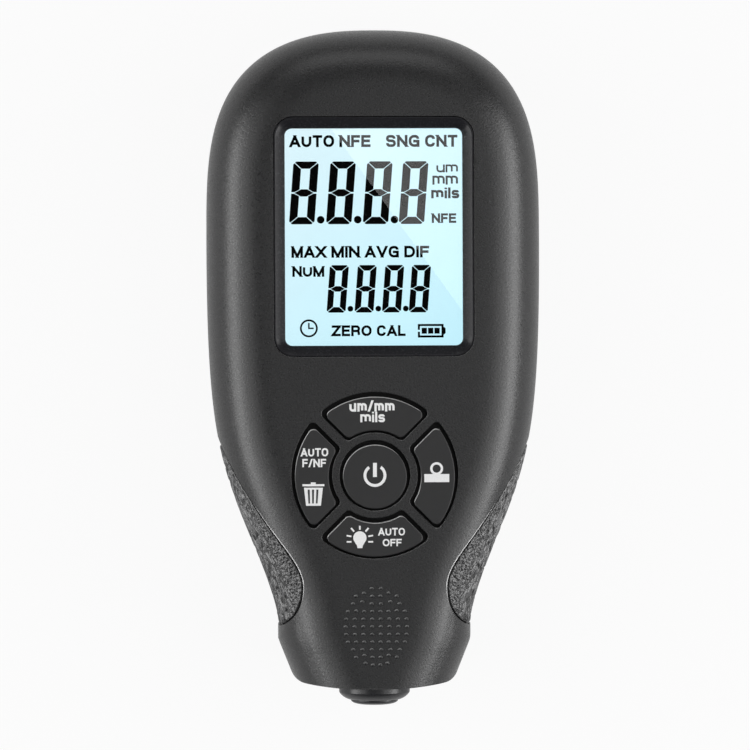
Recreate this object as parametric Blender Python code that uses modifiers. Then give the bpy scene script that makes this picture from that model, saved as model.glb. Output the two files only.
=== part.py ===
"""A handheld coating thickness gauge with a sprung probe, in metres with +Z up.

The gauge lies on its back. +Z comes out of the display, +Y runs up the display and
the probe points along -Y. The back rests at z = 0.
"""
import math

import bmesh
import bpy
from mathutils import Matrix, Vector

MM = 0.001

# Outline of the case, seen from the front
HEAD_TOP_POWER = 2.5
HEAD_SIDE_POWER = 3.4
HEAD_SIDE_ROOM = 2.2 * MM
HEAD_TOP_BAND = 15.35 * MM
HEAD_CENTRE_DROP = 0.85 * MM
SHOULDER_LEAD = 30.0 * MM
SHOULDER_TAIL = 13.0 * MM
FLANK_X = 21.1 * MM
FLANK_Y = -28.0 * MM
FLANK_SLOPE = 0.41
HOLLOW_LEAD = 2.0 * MM
HOLLOW_TAIL = 4.0 * MM
NECK_HALF_WIDTH = 16.3 * MM
NECK_TOP_Y = -43.0 * MM
NECK_END_Y = -45.6 * MM
CHIN_TAPER = 0.4
CHIN_Y = -53.4 * MM
CHIN_ARC_RADIUS = 96.0 * MM
CHIN_CORNER_RADIUS = 3.0 * MM
CHIN_CHAMFER = 0.5 * MM
CHIN_CORNER_SPREAD = math.radians(8.0)
OUTLINE_TAIL = 5.0 * MM
LEAST_HALF_WIDTH = 1.5 * MM

# Section of the case
PARTING_GAP = 0.3 * MM
FRONT_EDGE = 11.0 * MM
FRONT_EDGE_POWER = 2.4
REAR_EDGE = 6.5 * MM
REAR_EDGE_POWER = 2.6
HOLLOW_EDGE = 5.8 * MM
SIDE_WALL = 3.0 * MM
FACE_WALL = 2.2 * MM
END_WALL = 3.0 * MM
TONGUE_THICKNESS = 0.8 * MM
TONGUE_HEIGHT = 1.5 * MM

# Clearances
FIT = 0.3 * MM
SLIDE_FIT = 0.2 * MM

# Side grips
GRIP_THICKNESS = 1.0 * MM
GRIP_TOP = (26.9 * MM, -10.9 * MM)
GRIP_TOP_ANGLE = math.radians(24.0)
GRIP_TOP_LEAD = 18.0 * MM
GRIP_INNER = (12.25 * MM, -36.3 * MM)
GRIP_INNER_LEAD = 5.0 * MM
GRIP_INNER_TAIL = 4.0 * MM
GRIP_END = (15.9 * MM, -42.9 * MM)
GRIP_END_ANGLE = math.radians(30.0)
GRIP_END_LEAD = 2.0 * MM

# Display
VIEW_WIDTH = 29.6 * MM
VIEW_HEIGHT = 36.2 * MM
VIEW_CORNER = 1.2 * MM
BEZEL_BORDER = 1.9 * MM
BEZEL_CORNER = 3.3 * MM
BEZEL_SETBACK = 0.1 * MM
BEZEL_RIM = 0.3 * MM
BEZEL_SLOPE_DEPTH = 1.5 * MM
BEZEL_LAND = 0.5 * MM
BEZEL_FLANGE = 1.0 * MM
BEZEL_FLANGE_THICKNESS = 1.2 * MM
WINDOW_THICKNESS = 1.0 * MM
WINDOW_OVERLAP = 0.9 * MM
WINDOW_BEVEL = 0.1 * MM
GLASS_SIDE_MARGIN = 1.4 * MM
GLASS_END_MARGIN = 2.4 * MM
GLASS_THICKNESS = 1.8 * MM
BACKLIGHT_THICKNESS = 2.5 * MM
CARRIER_WALL = 1.8 * MM
CARRIER_FLOOR = 1.5 * MM
CARRIER_SIDE_LEDGE = 4.0 * MM
CARRIER_END_LEDGE = 7.0 * MM
ZEBRA_INSET = 1.2 * MM
ZEBRA_THICKNESS = 2.2 * MM
ZEBRA_MARGIN = 0.8 * MM

# Circuit board
BOARD_LIFT = 0.5 * MM
BOARD_THICKNESS = 1.6 * MM
BOARD_INSET = 4.0 * MM
BOARD_TOP_REACH = 23.05 * MM
BOARD_SHOULDER_Y = -29.5 * MM
BOARD_END_Y = -34.5 * MM
BOARD_TAIL_HALF_WIDTH = 8.0 * MM
CHIP_SIZE = 9.0 * MM
CHIP_THICKNESS = 1.4 * MM
CHIP_AT = (0.0, -16.0 * MM)
SOCKET_SIZE = (8.0 * MM, 4.0 * MM, 4.5 * MM)
SOCKET_AT_Y = -31.5 * MM

# Keys
KEYS_Y = -17.75 * MM
KEYS_TO_BEZEL = 5.86 * MM
CENTRE_HOLE_RADIUS = 5.87 * MM
RING_INNER_RADIUS = 7.13 * MM
RING_OUTER_RADIUS = 13.84 * MM
WEB_WIDTH = 1.56 * MM
KEY_GAP = 0.55 * MM
KEY_DROP = 0.2 * MM
KEY_PROUD = 0.35 * MM
KEY_BEVEL = 0.25 * MM
KEY_FLANGE = 0.5 * MM
KEY_FLANGE_THICKNESS = 1.2 * MM
KEY_TRAVEL = 0.6 * MM
HOLE_OUTER_CORNER = 0.9 * MM
HOLE_INNER_CORNER = 0.9 * MM
MAT_RADIUS = 15.4 * MM
MAT_THICKNESS = 1.2 * MM
MAT_DOME_RADIUS = 3.0 * MM
MAT_DOME_WALL = 0.8 * MM

# Thumb pad
PAD_Y = -42.9 * MM
PAD_HALF_WIDTH = 5.1 * MM
PAD_HALF_HEIGHT = 6.8 * MM
PAD_ROW_PITCH = 1.27 * MM
PAD_LARGEST_PITCH = 1.55 * MM
PAD_ROWS = (2, 6, 6, 8, 8, 8, 8, 8, 6, 6, 4)
PIP_BASE_RADIUS = 0.42 * MM
PIP_TOP_RADIUS = 0.18 * MM
PIP_SIDES = 5
PIP_HEIGHT = 0.25 * MM
PIP_TURN = math.radians(7.0)

# Probe, along -Y on the parting plane
COLLAR_REACH = 2.6 * MM
COLLAR_RADIUS = 6.0 * MM
COLLAR_NOSE_RADIUS = 4.3 * MM
COLLAR_NOSE_LENGTH = 1.3 * MM
COLLAR_NOSE_SHAPE = 1.4
COLLAR_LENGTH = 12.0 * MM
COLLAR_STEP = 3.5 * MM
COLLAR_LIP = 0.1 * MM
COLLAR_FLANGE = 1.4 * MM
COLLAR_FLANGE_THICKNESS = 1.5 * MM
PROBE_REACH = 0.85 * MM
PROBE_RADIUS = 4.0 * MM
PROBE_EDGE = 2.0 * MM
PROBE_EDGE_LENGTH = 0.7 * MM
PROBE_SHOULDER_RADIUS = 5.1 * MM
PROBE_SHOULDER_LENGTH = 1.4 * MM
PROBE_GUIDE_RADIUS = 3.4 * MM
PROBE_BORE_RADIUS = 2.7 * MM
PROBE_FACE_WALL = 1.4 * MM
PROBE_TRAVEL = 1.0 * MM
POLE_RADIUS = 1.1 * MM
POLE_PROUD = 0.15 * MM
COIL_LENGTH = 6.9 * MM
SPRING_WIRE = 0.5 * MM
PROBE_SPRING_RADIUS = 4.25 * MM
PROBE_SPRING_TURNS = 4
SEAT_SPIGOT = 1.5 * MM
SEAT_FLANGE_THICKNESS = 1.5 * MM
LEAD_RADIUS = 0.9 * MM
RIB_THICKNESS = 1.5 * MM
RIB_HALF_WIDTH = 8.3 * MM

# Batteries and their bay
CELL_RADIUS = 5.2 * MM
CELL_LENGTH = 44.5 * MM
CELL_NUB_RADIUS = 1.9 * MM
CELL_NUB_LENGTH = 0.8 * MM
CELL_EDGE = 0.4 * MM
CELL_SPACING = 0.5 * MM
CELL_LIFT = 0.5 * MM
BAY_SIDE_GAP = 0.4 * MM
BAY_BELOW_CARRIER = 2.05 * MM
BAY_WALL = 1.3 * MM
BAY_ROOF = 1.05 * MM
CONTACT_THICKNESS = 0.4 * MM
CONTACT_HALF_WIDTH = 4.0 * MM
CONTACT_DROP = 2.6 * MM
CONTACT_RISE = 4.0 * MM
CONTACT_DIMPLE = 0.8 * MM
CONTACT_DIMPLE_TIP = 1.2 * MM
CONTACT_DIMPLE_BASE = 2.0 * MM
CONTACT_SPRING_LENGTH = 3.2 * MM
CONTACT_SPRING_TURNS = 3
CONTACT_SPRING_BASE = 3.2 * MM
CONTACT_SPRING_TIP = 2.0 * MM
CONTACT_TAB_WIDTH = 2.0 * MM

# Battery door
DOOR_THICKNESS = 1.8 * MM
DOOR_LEDGE = 1.95 * MM
DOOR_END_LEDGE = 1.5 * MM
DOOR_CORNER = 2.0 * MM
LUG_X = 8.0 * MM
LUG_WIDTH = 4.0 * MM
LUG_REACH = 1.5 * MM
LUG_THICKNESS = 1.0 * MM
LUG_LIFT = 0.7 * MM
LUG_POST = 1.4 * MM
LUG_POCKET_WALL = 1.1 * MM
LATCH_WIDTH = 6.0 * MM
LATCH_THICKNESS = 1.0 * MM
LATCH_HEIGHT = 2.6 * MM
SCOOP_RADIUS = 5.0 * MM
SCOOP_DEPTH = 1.0 * MM

# Screws
CASE_SCREW_HEAD_X = 10.5 * MM
CASE_SCREW_HEAD_GAP = 0.65 * MM
CASE_SCREW_NECK = (9.0 * MM, -38.0 * MM)
CASE_POST_RADIUS = 3.0 * MM
CASE_HEAD_RADIUS = 2.1 * MM
CASE_HEAD_HEIGHT = 1.6 * MM
CASE_SHANK_RADIUS = 1.1 * MM
CASE_SCREW_BITE = 4.8 * MM
CASE_HEAD_Z = 2.4 * MM
BOARD_SCREW_RISE = 16.05 * MM
BOARD_SCREW_KEYS_X = 17.5 * MM
BOARD_SCREW_KEYS_RISE = 13.25 * MM
BOSS_RADIUS = 2.2 * MM
BOARD_HEAD_RADIUS = 1.7 * MM
BOARD_HEAD_HEIGHT = 1.2 * MM
BOARD_SHANK_RADIUS = 0.8 * MM
BOARD_SCREW_LENGTH = 6.0 * MM
SHANK_ROOT_SHARE = 0.7
SHANK_TIP_SHARE = 0.33
DRIVE_SHARE = 0.55

# Fineness of the curves
ROUND_STEPS = 28
SMALL_STEPS = 12
TINY_STEPS = 8
HEAD_STEPS = 10
WELD = 0.002 * MM
OVERCUT = 1.0 * MM

# Places and heights that follow from the sizes above
GLASS_WIDTH = VIEW_WIDTH + 2 * GLASS_SIDE_MARGIN
GLASS_HEIGHT = VIEW_HEIGHT + 2 * GLASS_END_MARGIN
CARRIER_HALF_WIDTH = GLASS_WIDTH / 2 + FIT + CARRIER_WALL
DISPLAY_Y = KEYS_Y + RING_OUTER_RADIUS + KEYS_TO_BEZEL + BEZEL_BORDER + VIEW_HEIGHT / 2
CARRIER_TOP_Y = DISPLAY_Y + GLASS_HEIGHT / 2 + FIT + CARRIER_WALL
HEAD_CENTRE_Y = DISPLAY_Y - HEAD_CENTRE_DROP
HEAD_RISE = DISPLAY_Y + VIEW_HEIGHT / 2 + BEZEL_BORDER + HEAD_TOP_BAND - HEAD_CENTRE_Y
HEAD_HALF_WIDTH = CARRIER_HALF_WIDTH + FIT + 2 * BOSS_RADIUS + HEAD_SIDE_ROOM + SIDE_WALL
BOARD_TOP_Y = DISPLAY_Y + BOARD_TOP_REACH
BOARD_SCREWS = ((CARRIER_HALF_WIDTH + FIT + BOSS_RADIUS, DISPLAY_Y + BOARD_SCREW_RISE),
                (BOARD_SCREW_KEYS_X, KEYS_Y + BOARD_SCREW_KEYS_RISE))
CASE_SCREWS = ((CASE_SCREW_HEAD_X, CARRIER_TOP_Y + FIT + CASE_POST_RADIUS + CASE_SCREW_HEAD_GAP),
               CASE_SCREW_NECK)
CELL_PITCH = 2 * CELL_RADIUS + CELL_SPACING
CELL_Z = DOOR_THICKNESS + CELL_LIFT + CELL_RADIUS
BAY_ROOF_Z = CELL_Z + CELL_RADIUS + FIT
PARTING_Z = BAY_ROOF_Z + BAY_ROOF + PARTING_GAP / 2
REAR_RIM_Z = PARTING_Z - PARTING_GAP / 2
FRONT_RIM_Z = PARTING_Z + PARTING_GAP / 2
BOARD_Z = PARTING_Z + BOARD_LIFT
BOARD_TOP_Z = BOARD_Z + BOARD_THICKNESS
CARRIER_Z = BOARD_TOP_Z + FIT
BACKLIGHT_Z = CARRIER_Z + CARRIER_FLOOR + FIT
GLASS_Z = BACKLIGHT_Z + BACKLIGHT_THICKNESS + FIT
BEZEL_FLANGE_Z = GLASS_Z + GLASS_THICKNESS + FIT
FLANGE_TOP_Z = BEZEL_FLANGE_Z + BEZEL_FLANGE_THICKNESS
FACE_INSIDE_Z = FLANGE_TOP_Z + FIT
CASE_DEPTH = FACE_INSIDE_Z + FACE_WALL
BEZEL_TOP_Z = CASE_DEPTH - BEZEL_SETBACK
BEZEL_LIP_Z = BEZEL_TOP_Z - BEZEL_SLOPE_DEPTH - BEZEL_LAND
KEY_BASE_Z = FLANGE_TOP_Z - KEY_FLANGE_THICKNESS
BAY_LENGTH = CELL_LENGTH + CONTACT_SPRING_LENGTH + CONTACT_DIMPLE + 2 * CONTACT_THICKNESS + 4 * FIT
BAY_TOP_Y = CARRIER_TOP_Y - BAY_BELOW_CARRIER
BAY_BOTTOM_Y = BAY_TOP_Y - BAY_LENGTH
BAY_HALF_WIDTH = CELL_PITCH / 2 + CELL_RADIUS + BAY_SIDE_GAP
DOOR_HALF_WIDTH = BAY_HALF_WIDTH + DOOR_LEDGE
DOOR_BOTTOM_Y = BAY_BOTTOM_Y - DOOR_LEDGE
DOOR_TOP_Y = BAY_TOP_Y + DOOR_END_LEDGE
RECESS_Z = DOOR_THICKNESS + FIT
LUG_TOP_Z = DOOR_THICKNESS + LUG_LIFT + LUG_THICKNESS
FRAME_HEIGHT = LUG_TOP_Z + 2 * FIT + LUG_POCKET_WALL
CONTACT_LOW_Z = CELL_Z - CONTACT_DROP
CONTACT_HIGH_Z = CELL_Z + CONTACT_RISE
CASE_SCREW_TOP_Z = PARTING_Z + CASE_SCREW_BITE
BOARD_SCREW_TOP_Z = BOARD_Z - FIT + BOARD_SCREW_LENGTH
COLLAR_TIP_Y = CHIN_Y - COLLAR_REACH
COLLAR_END_Y = COLLAR_TIP_Y + COLLAR_LENGTH
COLLAR_FLANGE_Y = CHIN_Y + END_WALL + FIT
FRONT_RIB_Y = COLLAR_FLANGE_Y + COLLAR_FLANGE_THICKNESS + FIT
SEAT_Y = COLLAR_END_Y + FIT
REAR_RIB_Y = SEAT_Y + SEAT_FLANGE_THICKNESS + FIT
PROBE_TIP_Y = COLLAR_TIP_Y - PROBE_REACH
SEAT_PLUG_Y = COLLAR_END_Y - SEAT_SPIGOT
PROBE_END_Y = SEAT_PLUG_Y - FIT - PROBE_TRAVEL


def clear_scene():
    """Remove every object of the start-up scene."""
    for item in list(bpy.data.objects):
        bpy.data.objects.remove(item, do_unlink=True)


def make_collection(name):
    """Add a collection to the scene."""
    group = bpy.data.collections.new(name)
    bpy.context.scene.collection.children.link(group)
    return group


clear_scene()
PARTS = make_collection("coating_thickness_gauge")
CUTTERS = make_collection("cutters")


def finish(name, colour, roughness, metallic=0.0, alpha=1.0):
    """A Principled material for one sub-part."""
    material = bpy.data.materials.new(name)
    material.use_nodes = True
    shader = material.node_tree.nodes["Principled BSDF"]
    shader.inputs["Base Color"].default_value = (*colour, 1.0)
    shader.inputs["Roughness"].default_value = roughness
    shader.inputs["Metallic"].default_value = metallic
    shader.inputs["Alpha"].default_value = alpha
    return material


def place(name, mesh, material=None):
    """Link a mesh as a part, or as a cutter when it has no material."""
    item = bpy.data.objects.new(name, mesh)
    if material is None:
        CUTTERS.objects.link(item)
        item.hide_render = True
        item.display_type = 'WIRE'
    else:
        PARTS.objects.link(item)
        mesh.materials.append(material)
    return item


def smooth_rounds(mesh):
    """Shade a round piece smooth and keep its real edges sharp."""
    mesh.shade_smooth()
    mesh.set_sharp_from_angle(angle=math.radians(35.0))


def combine(item, tool, operation):
    """Cut, join or intersect a piece with another by an exact Boolean."""
    step = item.modifiers.new(operation.title(), 'BOOLEAN')
    step.operation = operation
    step.solver = 'EXACT'
    step.object = tool


def set_origin(item, point):
    """Move an object's origin to a point and leave its shape where it is."""
    item.data.transform(Matrix.Translation(-Vector(point)))
    item.location = point


# Flat outlines

def arc(centre, radius, start, end, steps):
    """Points on an arc, both ends included."""
    angles = [start + (end - start) * i / steps for i in range(steps + 1)]
    return [(centre[0] + radius * math.cos(a), centre[1] + radius * math.sin(a)) for a in angles]


def circle(centre, radius, steps=ROUND_STEPS):
    """A closed circle of points."""
    return arc(centre, radius, 0.0, 2 * math.pi * (1 - 1 / steps), steps - 1)


def rounded_box(centre, width, height, radius, steps=4):
    """A rectangle with round corners."""
    points = []
    for quarter, (sx, sy) in enumerate(((1, 1), (-1, 1), (-1, -1), (1, -1))):
        corner = (centre[0] + sx * (width / 2 - radius), centre[1] + sy * (height / 2 - radius))
        start = quarter * math.pi / 2
        points += arc(corner, radius, start, start + math.pi / 2, steps)
    return points


def cubic(p0, p1, p2, p3, steps):
    """Points and tangents along a cubic curve, both ends included."""
    p0, p1, p2, p3 = (Vector(p) for p in (p0, p1, p2, p3))
    samples = []
    for i in range(steps + 1):
        t = i / steps
        point = (1 - t) ** 3 * p0 + 3 * (1 - t) ** 2 * t * p1 + 3 * (1 - t) * t * t * p2 + t ** 3 * p3
        tangent = (1 - t) ** 2 * (p1 - p0) + 2 * (1 - t) * t * (p2 - p1) + t * t * (p3 - p2)
        samples.append((point, tangent))
    return samples


def side_samples(tail_y):
    """The right-hand side from the head's widest line down past the chin, with tangents."""
    flank = (FLANK_X, FLANK_Y)
    shoulder = cubic((HEAD_HALF_WIDTH, HEAD_CENTRE_Y),
                     (HEAD_HALF_WIDTH, HEAD_CENTRE_Y - SHOULDER_LEAD),
                     (FLANK_X + FLANK_SLOPE * SHOULDER_TAIL, FLANK_Y + SHOULDER_TAIL), flank, 7)
    hollow = cubic(flank, (FLANK_X - FLANK_SLOPE * HOLLOW_LEAD, FLANK_Y - HOLLOW_LEAD),
                   (NECK_HALF_WIDTH, NECK_TOP_Y + HOLLOW_TAIL), (NECK_HALF_WIDTH, NECK_TOP_Y), 5)
    chin_width = NECK_HALF_WIDTH - CHIN_TAPER * (NECK_END_Y - CHIN_Y)
    down = Vector((0.0, -1.0))
    slant = Vector((-CHIN_TAPER, -1.0))
    ends = [(Vector((NECK_HALF_WIDTH, NECK_END_Y)), (down + slant.normalized()) / 2),
            (Vector((chin_width, CHIN_Y)), slant),
            (Vector((chin_width, tail_y)), down)]
    return shoulder + hollow[1:] + ends


def case_outline(inset):
    """The case's outline drawn in by an inset. Side points keep their height."""
    tail_y = CHIN_Y - OUTLINE_TAIL
    wide = HEAD_HALF_WIDTH - inset
    tall = HEAD_RISE - inset
    right = []
    for i in range(HEAD_STEPS):
        angle = math.pi / 2 * i / HEAD_STEPS
        right.append((wide * math.sin(angle) ** (2 / HEAD_TOP_POWER),
                      HEAD_CENTRE_Y + tall * math.cos(angle) ** (2 / HEAD_SIDE_POWER)))
    for point, tangent in side_samples(tail_y):
        lean = tangent.length / abs(tangent.y)
        right.append((max(point.x - inset * lean, LEAST_HALF_WIDTH), point.y))
    left = [(-x, y) for x, y in reversed(right[1:])]
    return left + [(0.0, right[0][1])] + right[1:]


def key_sector(direction, inner, outer, web, inner_corner, outer_corner):
    """A quarter ring between two webs, with round corners, about the key centre."""
    reach = math.sqrt((outer - outer_corner) ** 2 - (web + outer_corner) ** 2)
    start = math.sqrt((inner + inner_corner) ** 2 - (web + inner_corner) ** 2)
    outer_lift = math.atan2(web + outer_corner, reach)
    inner_lift = math.atan2(web + inner_corner, start)
    side = math.pi / 4
    half = arc((0, 0), outer, 0.0, side - outer_lift, 4)
    turn = Matrix.Rotation(side, 2)
    corner = turn @ Vector((reach, -(web + outer_corner)))
    half += arc(corner, outer_corner, side - outer_lift, side + math.pi / 2, 3)[1:]
    corner = turn @ Vector((start, -(web + inner_corner)))
    half += arc(corner, inner_corner, side + math.pi / 2, side + math.pi - inner_lift, 2)
    half += arc((0, 0), inner, side - inner_lift, 0.0, 3)[1:]
    whole = half + [(x, -y) for x, y in reversed(half[1:-1])]
    spin = Matrix.Rotation(direction, 2)
    return [tuple(spin @ Vector(p) + Vector((0.0, KEYS_Y))) for p in whole]


# Solids

def plate(name, outlines, low, high, material=None, bevel=0.0):
    """A flat piece from one outline, with any further outlines as its holes."""
    curve = bpy.data.curves.new(name, 'CURVE')
    curve.dimensions = '2D'
    curve.fill_mode = 'BOTH'
    curve.extrude = (high - low) / 2 - bevel
    curve.bevel_depth = bevel
    curve.bevel_resolution = 0
    curve.offset = -bevel
    for points in outlines:
        spline = curve.splines.new('POLY')
        spline.points.add(len(points) - 1)
        for spot, (x, y) in zip(spline.points, points):
            spot.co = (x, y, 0.0, 1.0)
        spline.use_cyclic_u = True
    source = bpy.data.objects.new(name, curve)
    source.location.z = (low + high) / 2
    return solid_from_curve(source, material)


def solid_from_curve(source, material):
    """Turn a curve object into a closed mesh piece in its place."""
    name = source.name
    bpy.context.scene.collection.objects.link(source)
    bpy.context.view_layer.update()
    ready = source.evaluated_get(bpy.context.evaluated_depsgraph_get())
    mesh = bpy.data.meshes.new_from_object(ready)
    mesh.transform(source.matrix_world)
    data = source.data
    bpy.data.objects.remove(source)
    bpy.data.curves.remove(data)
    work = bmesh.new()
    work.from_mesh(mesh)
    bmesh.ops.remove_doubles(work, verts=work.verts, dist=WELD)
    bmesh.ops.recalc_face_normals(work, faces=work.faces)
    work.to_mesh(mesh)
    work.free()
    return place(name, mesh, material)


def wire(name, points, radius, material=None):
    """A round wire along a list of points."""
    curve = bpy.data.curves.new(name, 'CURVE')
    curve.dimensions = '3D'
    curve.bevel_depth = radius
    curve.bevel_resolution = 1
    curve.use_fill_caps = True
    spline = curve.splines.new('POLY')
    spline.points.add(len(points) - 1)
    for spot, point in zip(spline.points, points):
        spot.co = (*point, 1.0)
    item = solid_from_curve(bpy.data.objects.new(name, curve), material)
    smooth_rounds(item.data)
    return item


def box(name, low, high, material=None):
    """A block between two corners."""
    work = bmesh.new()
    bmesh.ops.create_cube(work, size=1.0)
    size = [b - a for a, b in zip(low, high)]
    middle = [(a + b) / 2 for a, b in zip(low, high)]
    bmesh.ops.scale(work, vec=size, verts=work.verts)
    bmesh.ops.translate(work, vec=middle, verts=work.verts)
    mesh = bpy.data.meshes.new(name)
    work.to_mesh(mesh)
    work.free()
    return place(name, mesh, material)


def drum(name, at, radius, low, high, material=None, steps=SMALL_STEPS):
    """An upright cylinder."""
    return plate(name, [circle(at, radius, steps)], low, high, material)


def turned(name, profile, material=None, steps=ROUND_STEPS, closed=False):
    """A turned piece whose profile is (radius, reach towards -Y) from the tip down."""
    mesh = bpy.data.meshes.new(name)
    edges = [(i, i + 1) for i in range(len(profile) - 1)]
    if closed:
        edges.append((len(profile) - 1, 0))
    mesh.from_pydata([(radius, 0.0, -y) for radius, y in profile], edges, [])
    item = place(name, mesh, material)
    item.rotation_euler.x = math.pi / 2
    spin = item.modifiers.new("Turn", 'SCREW')
    spin.steps = steps
    spin.render_steps = steps
    spin.use_merge_vertices = True
    spin.merge_threshold = WELD
    return item


def loft(name, rings, material=None):
    """A closed solid through a stack of outlines with as many points each."""
    work = bmesh.new()
    rows = [[work.verts.new((x, y, z)) for x, y in ring] for z, ring in rings]
    for low, high in zip(rows, rows[1:]):
        for i in range(len(low)):
            j = (i + 1) % len(low)
            work.faces.new((low[i], low[j], high[j], high[i]))
    work.faces.new(rows[0])
    work.faces.new(rows[-1])
    bmesh.ops.recalc_face_normals(work, faces=work.faces)
    mesh = bpy.data.meshes.new(name)
    work.to_mesh(mesh)
    work.free()
    smooth_rounds(mesh)
    return place(name, mesh, material)


# The case's rounded body

def edge_rings(side, wall, skin, steps, hollow=False):
    """Outlines from the parting plane to the front (side 1) or the back (side -1).

    wall draws the sides in and skin lowers the face, for a shape under the surface.
    A hollow turns its edge more tightly than the outside does.
    """
    rise = CASE_DEPTH - PARTING_Z if side > 0 else PARTING_Z
    edge, power = (FRONT_EDGE, FRONT_EDGE_POWER) if side > 0 else (REAR_EDGE, REAR_EDGE_POWER)
    if hollow:
        edge = min(edge, HOLLOW_EDGE)
    rings = []
    for i in range(steps + 1):
        angle = math.pi / 2 * i / steps
        drawn = edge * (1 - math.cos(angle) ** (2 / power)) if i < steps else edge
        height = (rise - skin) * math.sin(angle) ** (2 / power)
        rings.append((PARTING_Z + side * height, case_outline(wall + drawn)))
    return rings


def half_body(name, side, wall, skin, cut_z, steps, material=None):
    """One half of the body, closed off flat at a height near the parting plane."""
    rings = edge_rings(side, wall, skin, steps, hollow=wall > 0)
    rings[0] = (cut_z, rings[0][1])
    return loft(name, rings, material)


def whole_body(name, depth):
    """The whole body shape, drawn in evenly by a depth."""
    rear = edge_rings(-1, depth, depth, 4)
    front = edge_rings(1, depth, depth, 6)
    return loft(name, rear[:0:-1] + front)


def chin_prism():
    """Everything above the chin's curved end, with round corners and a thin chamfer."""
    centre_y = CHIN_Y + CHIN_ARC_RADIUS
    half_angle = math.atan(CHIN_TAPER)
    corner = CHIN_CORNER_RADIUS
    line = Vector((NECK_HALF_WIDTH, NECK_END_Y))
    normal = Vector((math.cos(half_angle), -math.sin(half_angle)))
    along = Vector((-math.sin(half_angle), -math.cos(half_angle)))
    start = line - normal * corner
    offset = start - Vector((0.0, centre_y))
    reach = CHIN_ARC_RADIUS - corner
    b = offset.dot(along)
    step = -b + math.sqrt(b * b - offset.length_squared + reach * reach)
    centre = start + along * step
    spread = math.atan2(centre.x, centre_y - centre.y)
    edge_angle = -half_angle - CHIN_CORNER_SPREAD
    right = arc((0.0, centre_y), CHIN_ARC_RADIUS, -math.pi / 2, -math.pi / 2 + spread, 6)
    right += arc(centre, corner, -math.pi / 2 + spread, edge_angle, 4)[1:]
    last = Vector(right[-1])
    flare = Vector((-math.sin(edge_angle), math.cos(edge_angle)))
    right.append(tuple(last + flare * 2 * HEAD_HALF_WIDTH))
    right.append((right[-1][0], HEAD_CENTRE_Y + 2 * HEAD_RISE))
    left = [(-x, y) for x, y in reversed(right[1:])]
    return plate("chin_end", [left + right], 0.0, CASE_DEPTH, bevel=CHIN_CHAMFER)


def inner_limit(name, margin):
    """A block that keeps a hollow clear of the end wall at the chin."""
    far = 3 * HEAD_RISE
    return box(name, (-far, CHIN_Y + END_WALL + margin, -far), (far, far, far))


def flat_body(name, inset, low, high):
    """A straight-sided slab of the case's outline."""
    return loft(name, [(low, case_outline(inset)), (high, case_outline(inset))])


# Places that several pieces share

def both_sides(places):
    """Mirror a list of places across the centre line."""
    return [(side * x, y) for x, y in places for side in (1, -1)]


def ring_keys():
    """Names and directions of the four keys round the centre key."""
    return (("key_units", math.pi / 2), ("key_mode", math.pi),
            ("key_light", -math.pi / 2), ("key_zero", 0.0))


def key_hole(direction, grow=0.0):
    """A ring key's hole in the face, grown or shrunk evenly."""
    return key_sector(direction, RING_INNER_RADIUS - grow, RING_OUTER_RADIUS + grow,
                      WEB_WIDTH / 2 - grow, HOLE_INNER_CORNER, HOLE_OUTER_CORNER)


def grip_region(name, grow):
    """The plan region of the right-hand grip, as an upright block."""
    top = Vector(GRIP_TOP)
    inner = Vector(GRIP_INNER)
    end = Vector(GRIP_END)
    lead = Vector((-math.sin(GRIP_TOP_ANGLE), -math.cos(GRIP_TOP_ANGLE))) * GRIP_TOP_LEAD
    tail = Vector((-math.cos(GRIP_END_ANGLE), math.sin(GRIP_END_ANGLE))) * GRIP_END_LEAD
    edge = cubic(top, top + lead, inner + Vector((0.0, GRIP_INNER_LEAD)), inner, 10)
    edge += cubic(inner, inner - Vector((0.0, GRIP_INNER_TAIL)), end + tail, end, 6)[1:]
    points = []
    for point, tangent in edge:
        normal = Vector((tangent.y, -tangent.x)).normalized()
        points.append(tuple(point + normal * grow))
    outside = 2 * HEAD_HALF_WIDTH
    points.append((outside, points[-1][1]))
    points.append((outside, points[0][1]))
    return plate(name, [points], -OVERCUT, CASE_DEPTH + OVERCUT)


def mirrored(name, source):
    """A left-hand copy of a right-hand piece, with its Booleans."""
    mesh = source.data.copy()
    mesh.transform(Matrix.Scale(-1.0, 4, (1.0, 0.0, 0.0)))
    mesh.flip_normals()
    mesh.materials.clear()
    copy = place(name, mesh)
    for step in source.modifiers:
        combine(copy, step.object, step.operation)
    return copy


def grip_pockets(core):
    """Cutters for the two pockets that the grips lie in."""
    right = grip_region("pocket_right", FIT)
    combine(right, core, 'DIFFERENCE')
    return right, mirrored("pocket_left", right)


# Case halves

def thumb_pips():
    """Small raised pips in an oval field, as one cutter-side mesh of separate domes."""
    work = bmesh.new()
    middle = (len(PAD_ROWS) - 1) / 2
    for row, count in enumerate(PAD_ROWS):
        up = (middle - row) * PAD_ROW_PITCH
        half = PAD_HALF_WIDTH * math.sqrt(1 - (up / PAD_HALF_HEIGHT) ** 2)
        pitch = min(2 * half / (count - 1), PAD_LARGEST_PITCH)
        for i in range(count):
            x = (i - (count - 1) / 2) * pitch
            spot = Matrix.Translation((x, PAD_Y + up, CASE_DEPTH)) @ Matrix.Rotation(PIP_TURN, 4, 'Z')
            bmesh.ops.create_cone(work, cap_ends=True, segments=PIP_SIDES, radius1=PIP_BASE_RADIUS,
                                  radius2=PIP_TOP_RADIUS, depth=2 * PIP_HEIGHT, matrix=spot)
    mesh = bpy.data.meshes.new("thumb_pips")
    work.to_mesh(mesh)
    work.free()
    return place("thumb_pips", mesh)


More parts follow.
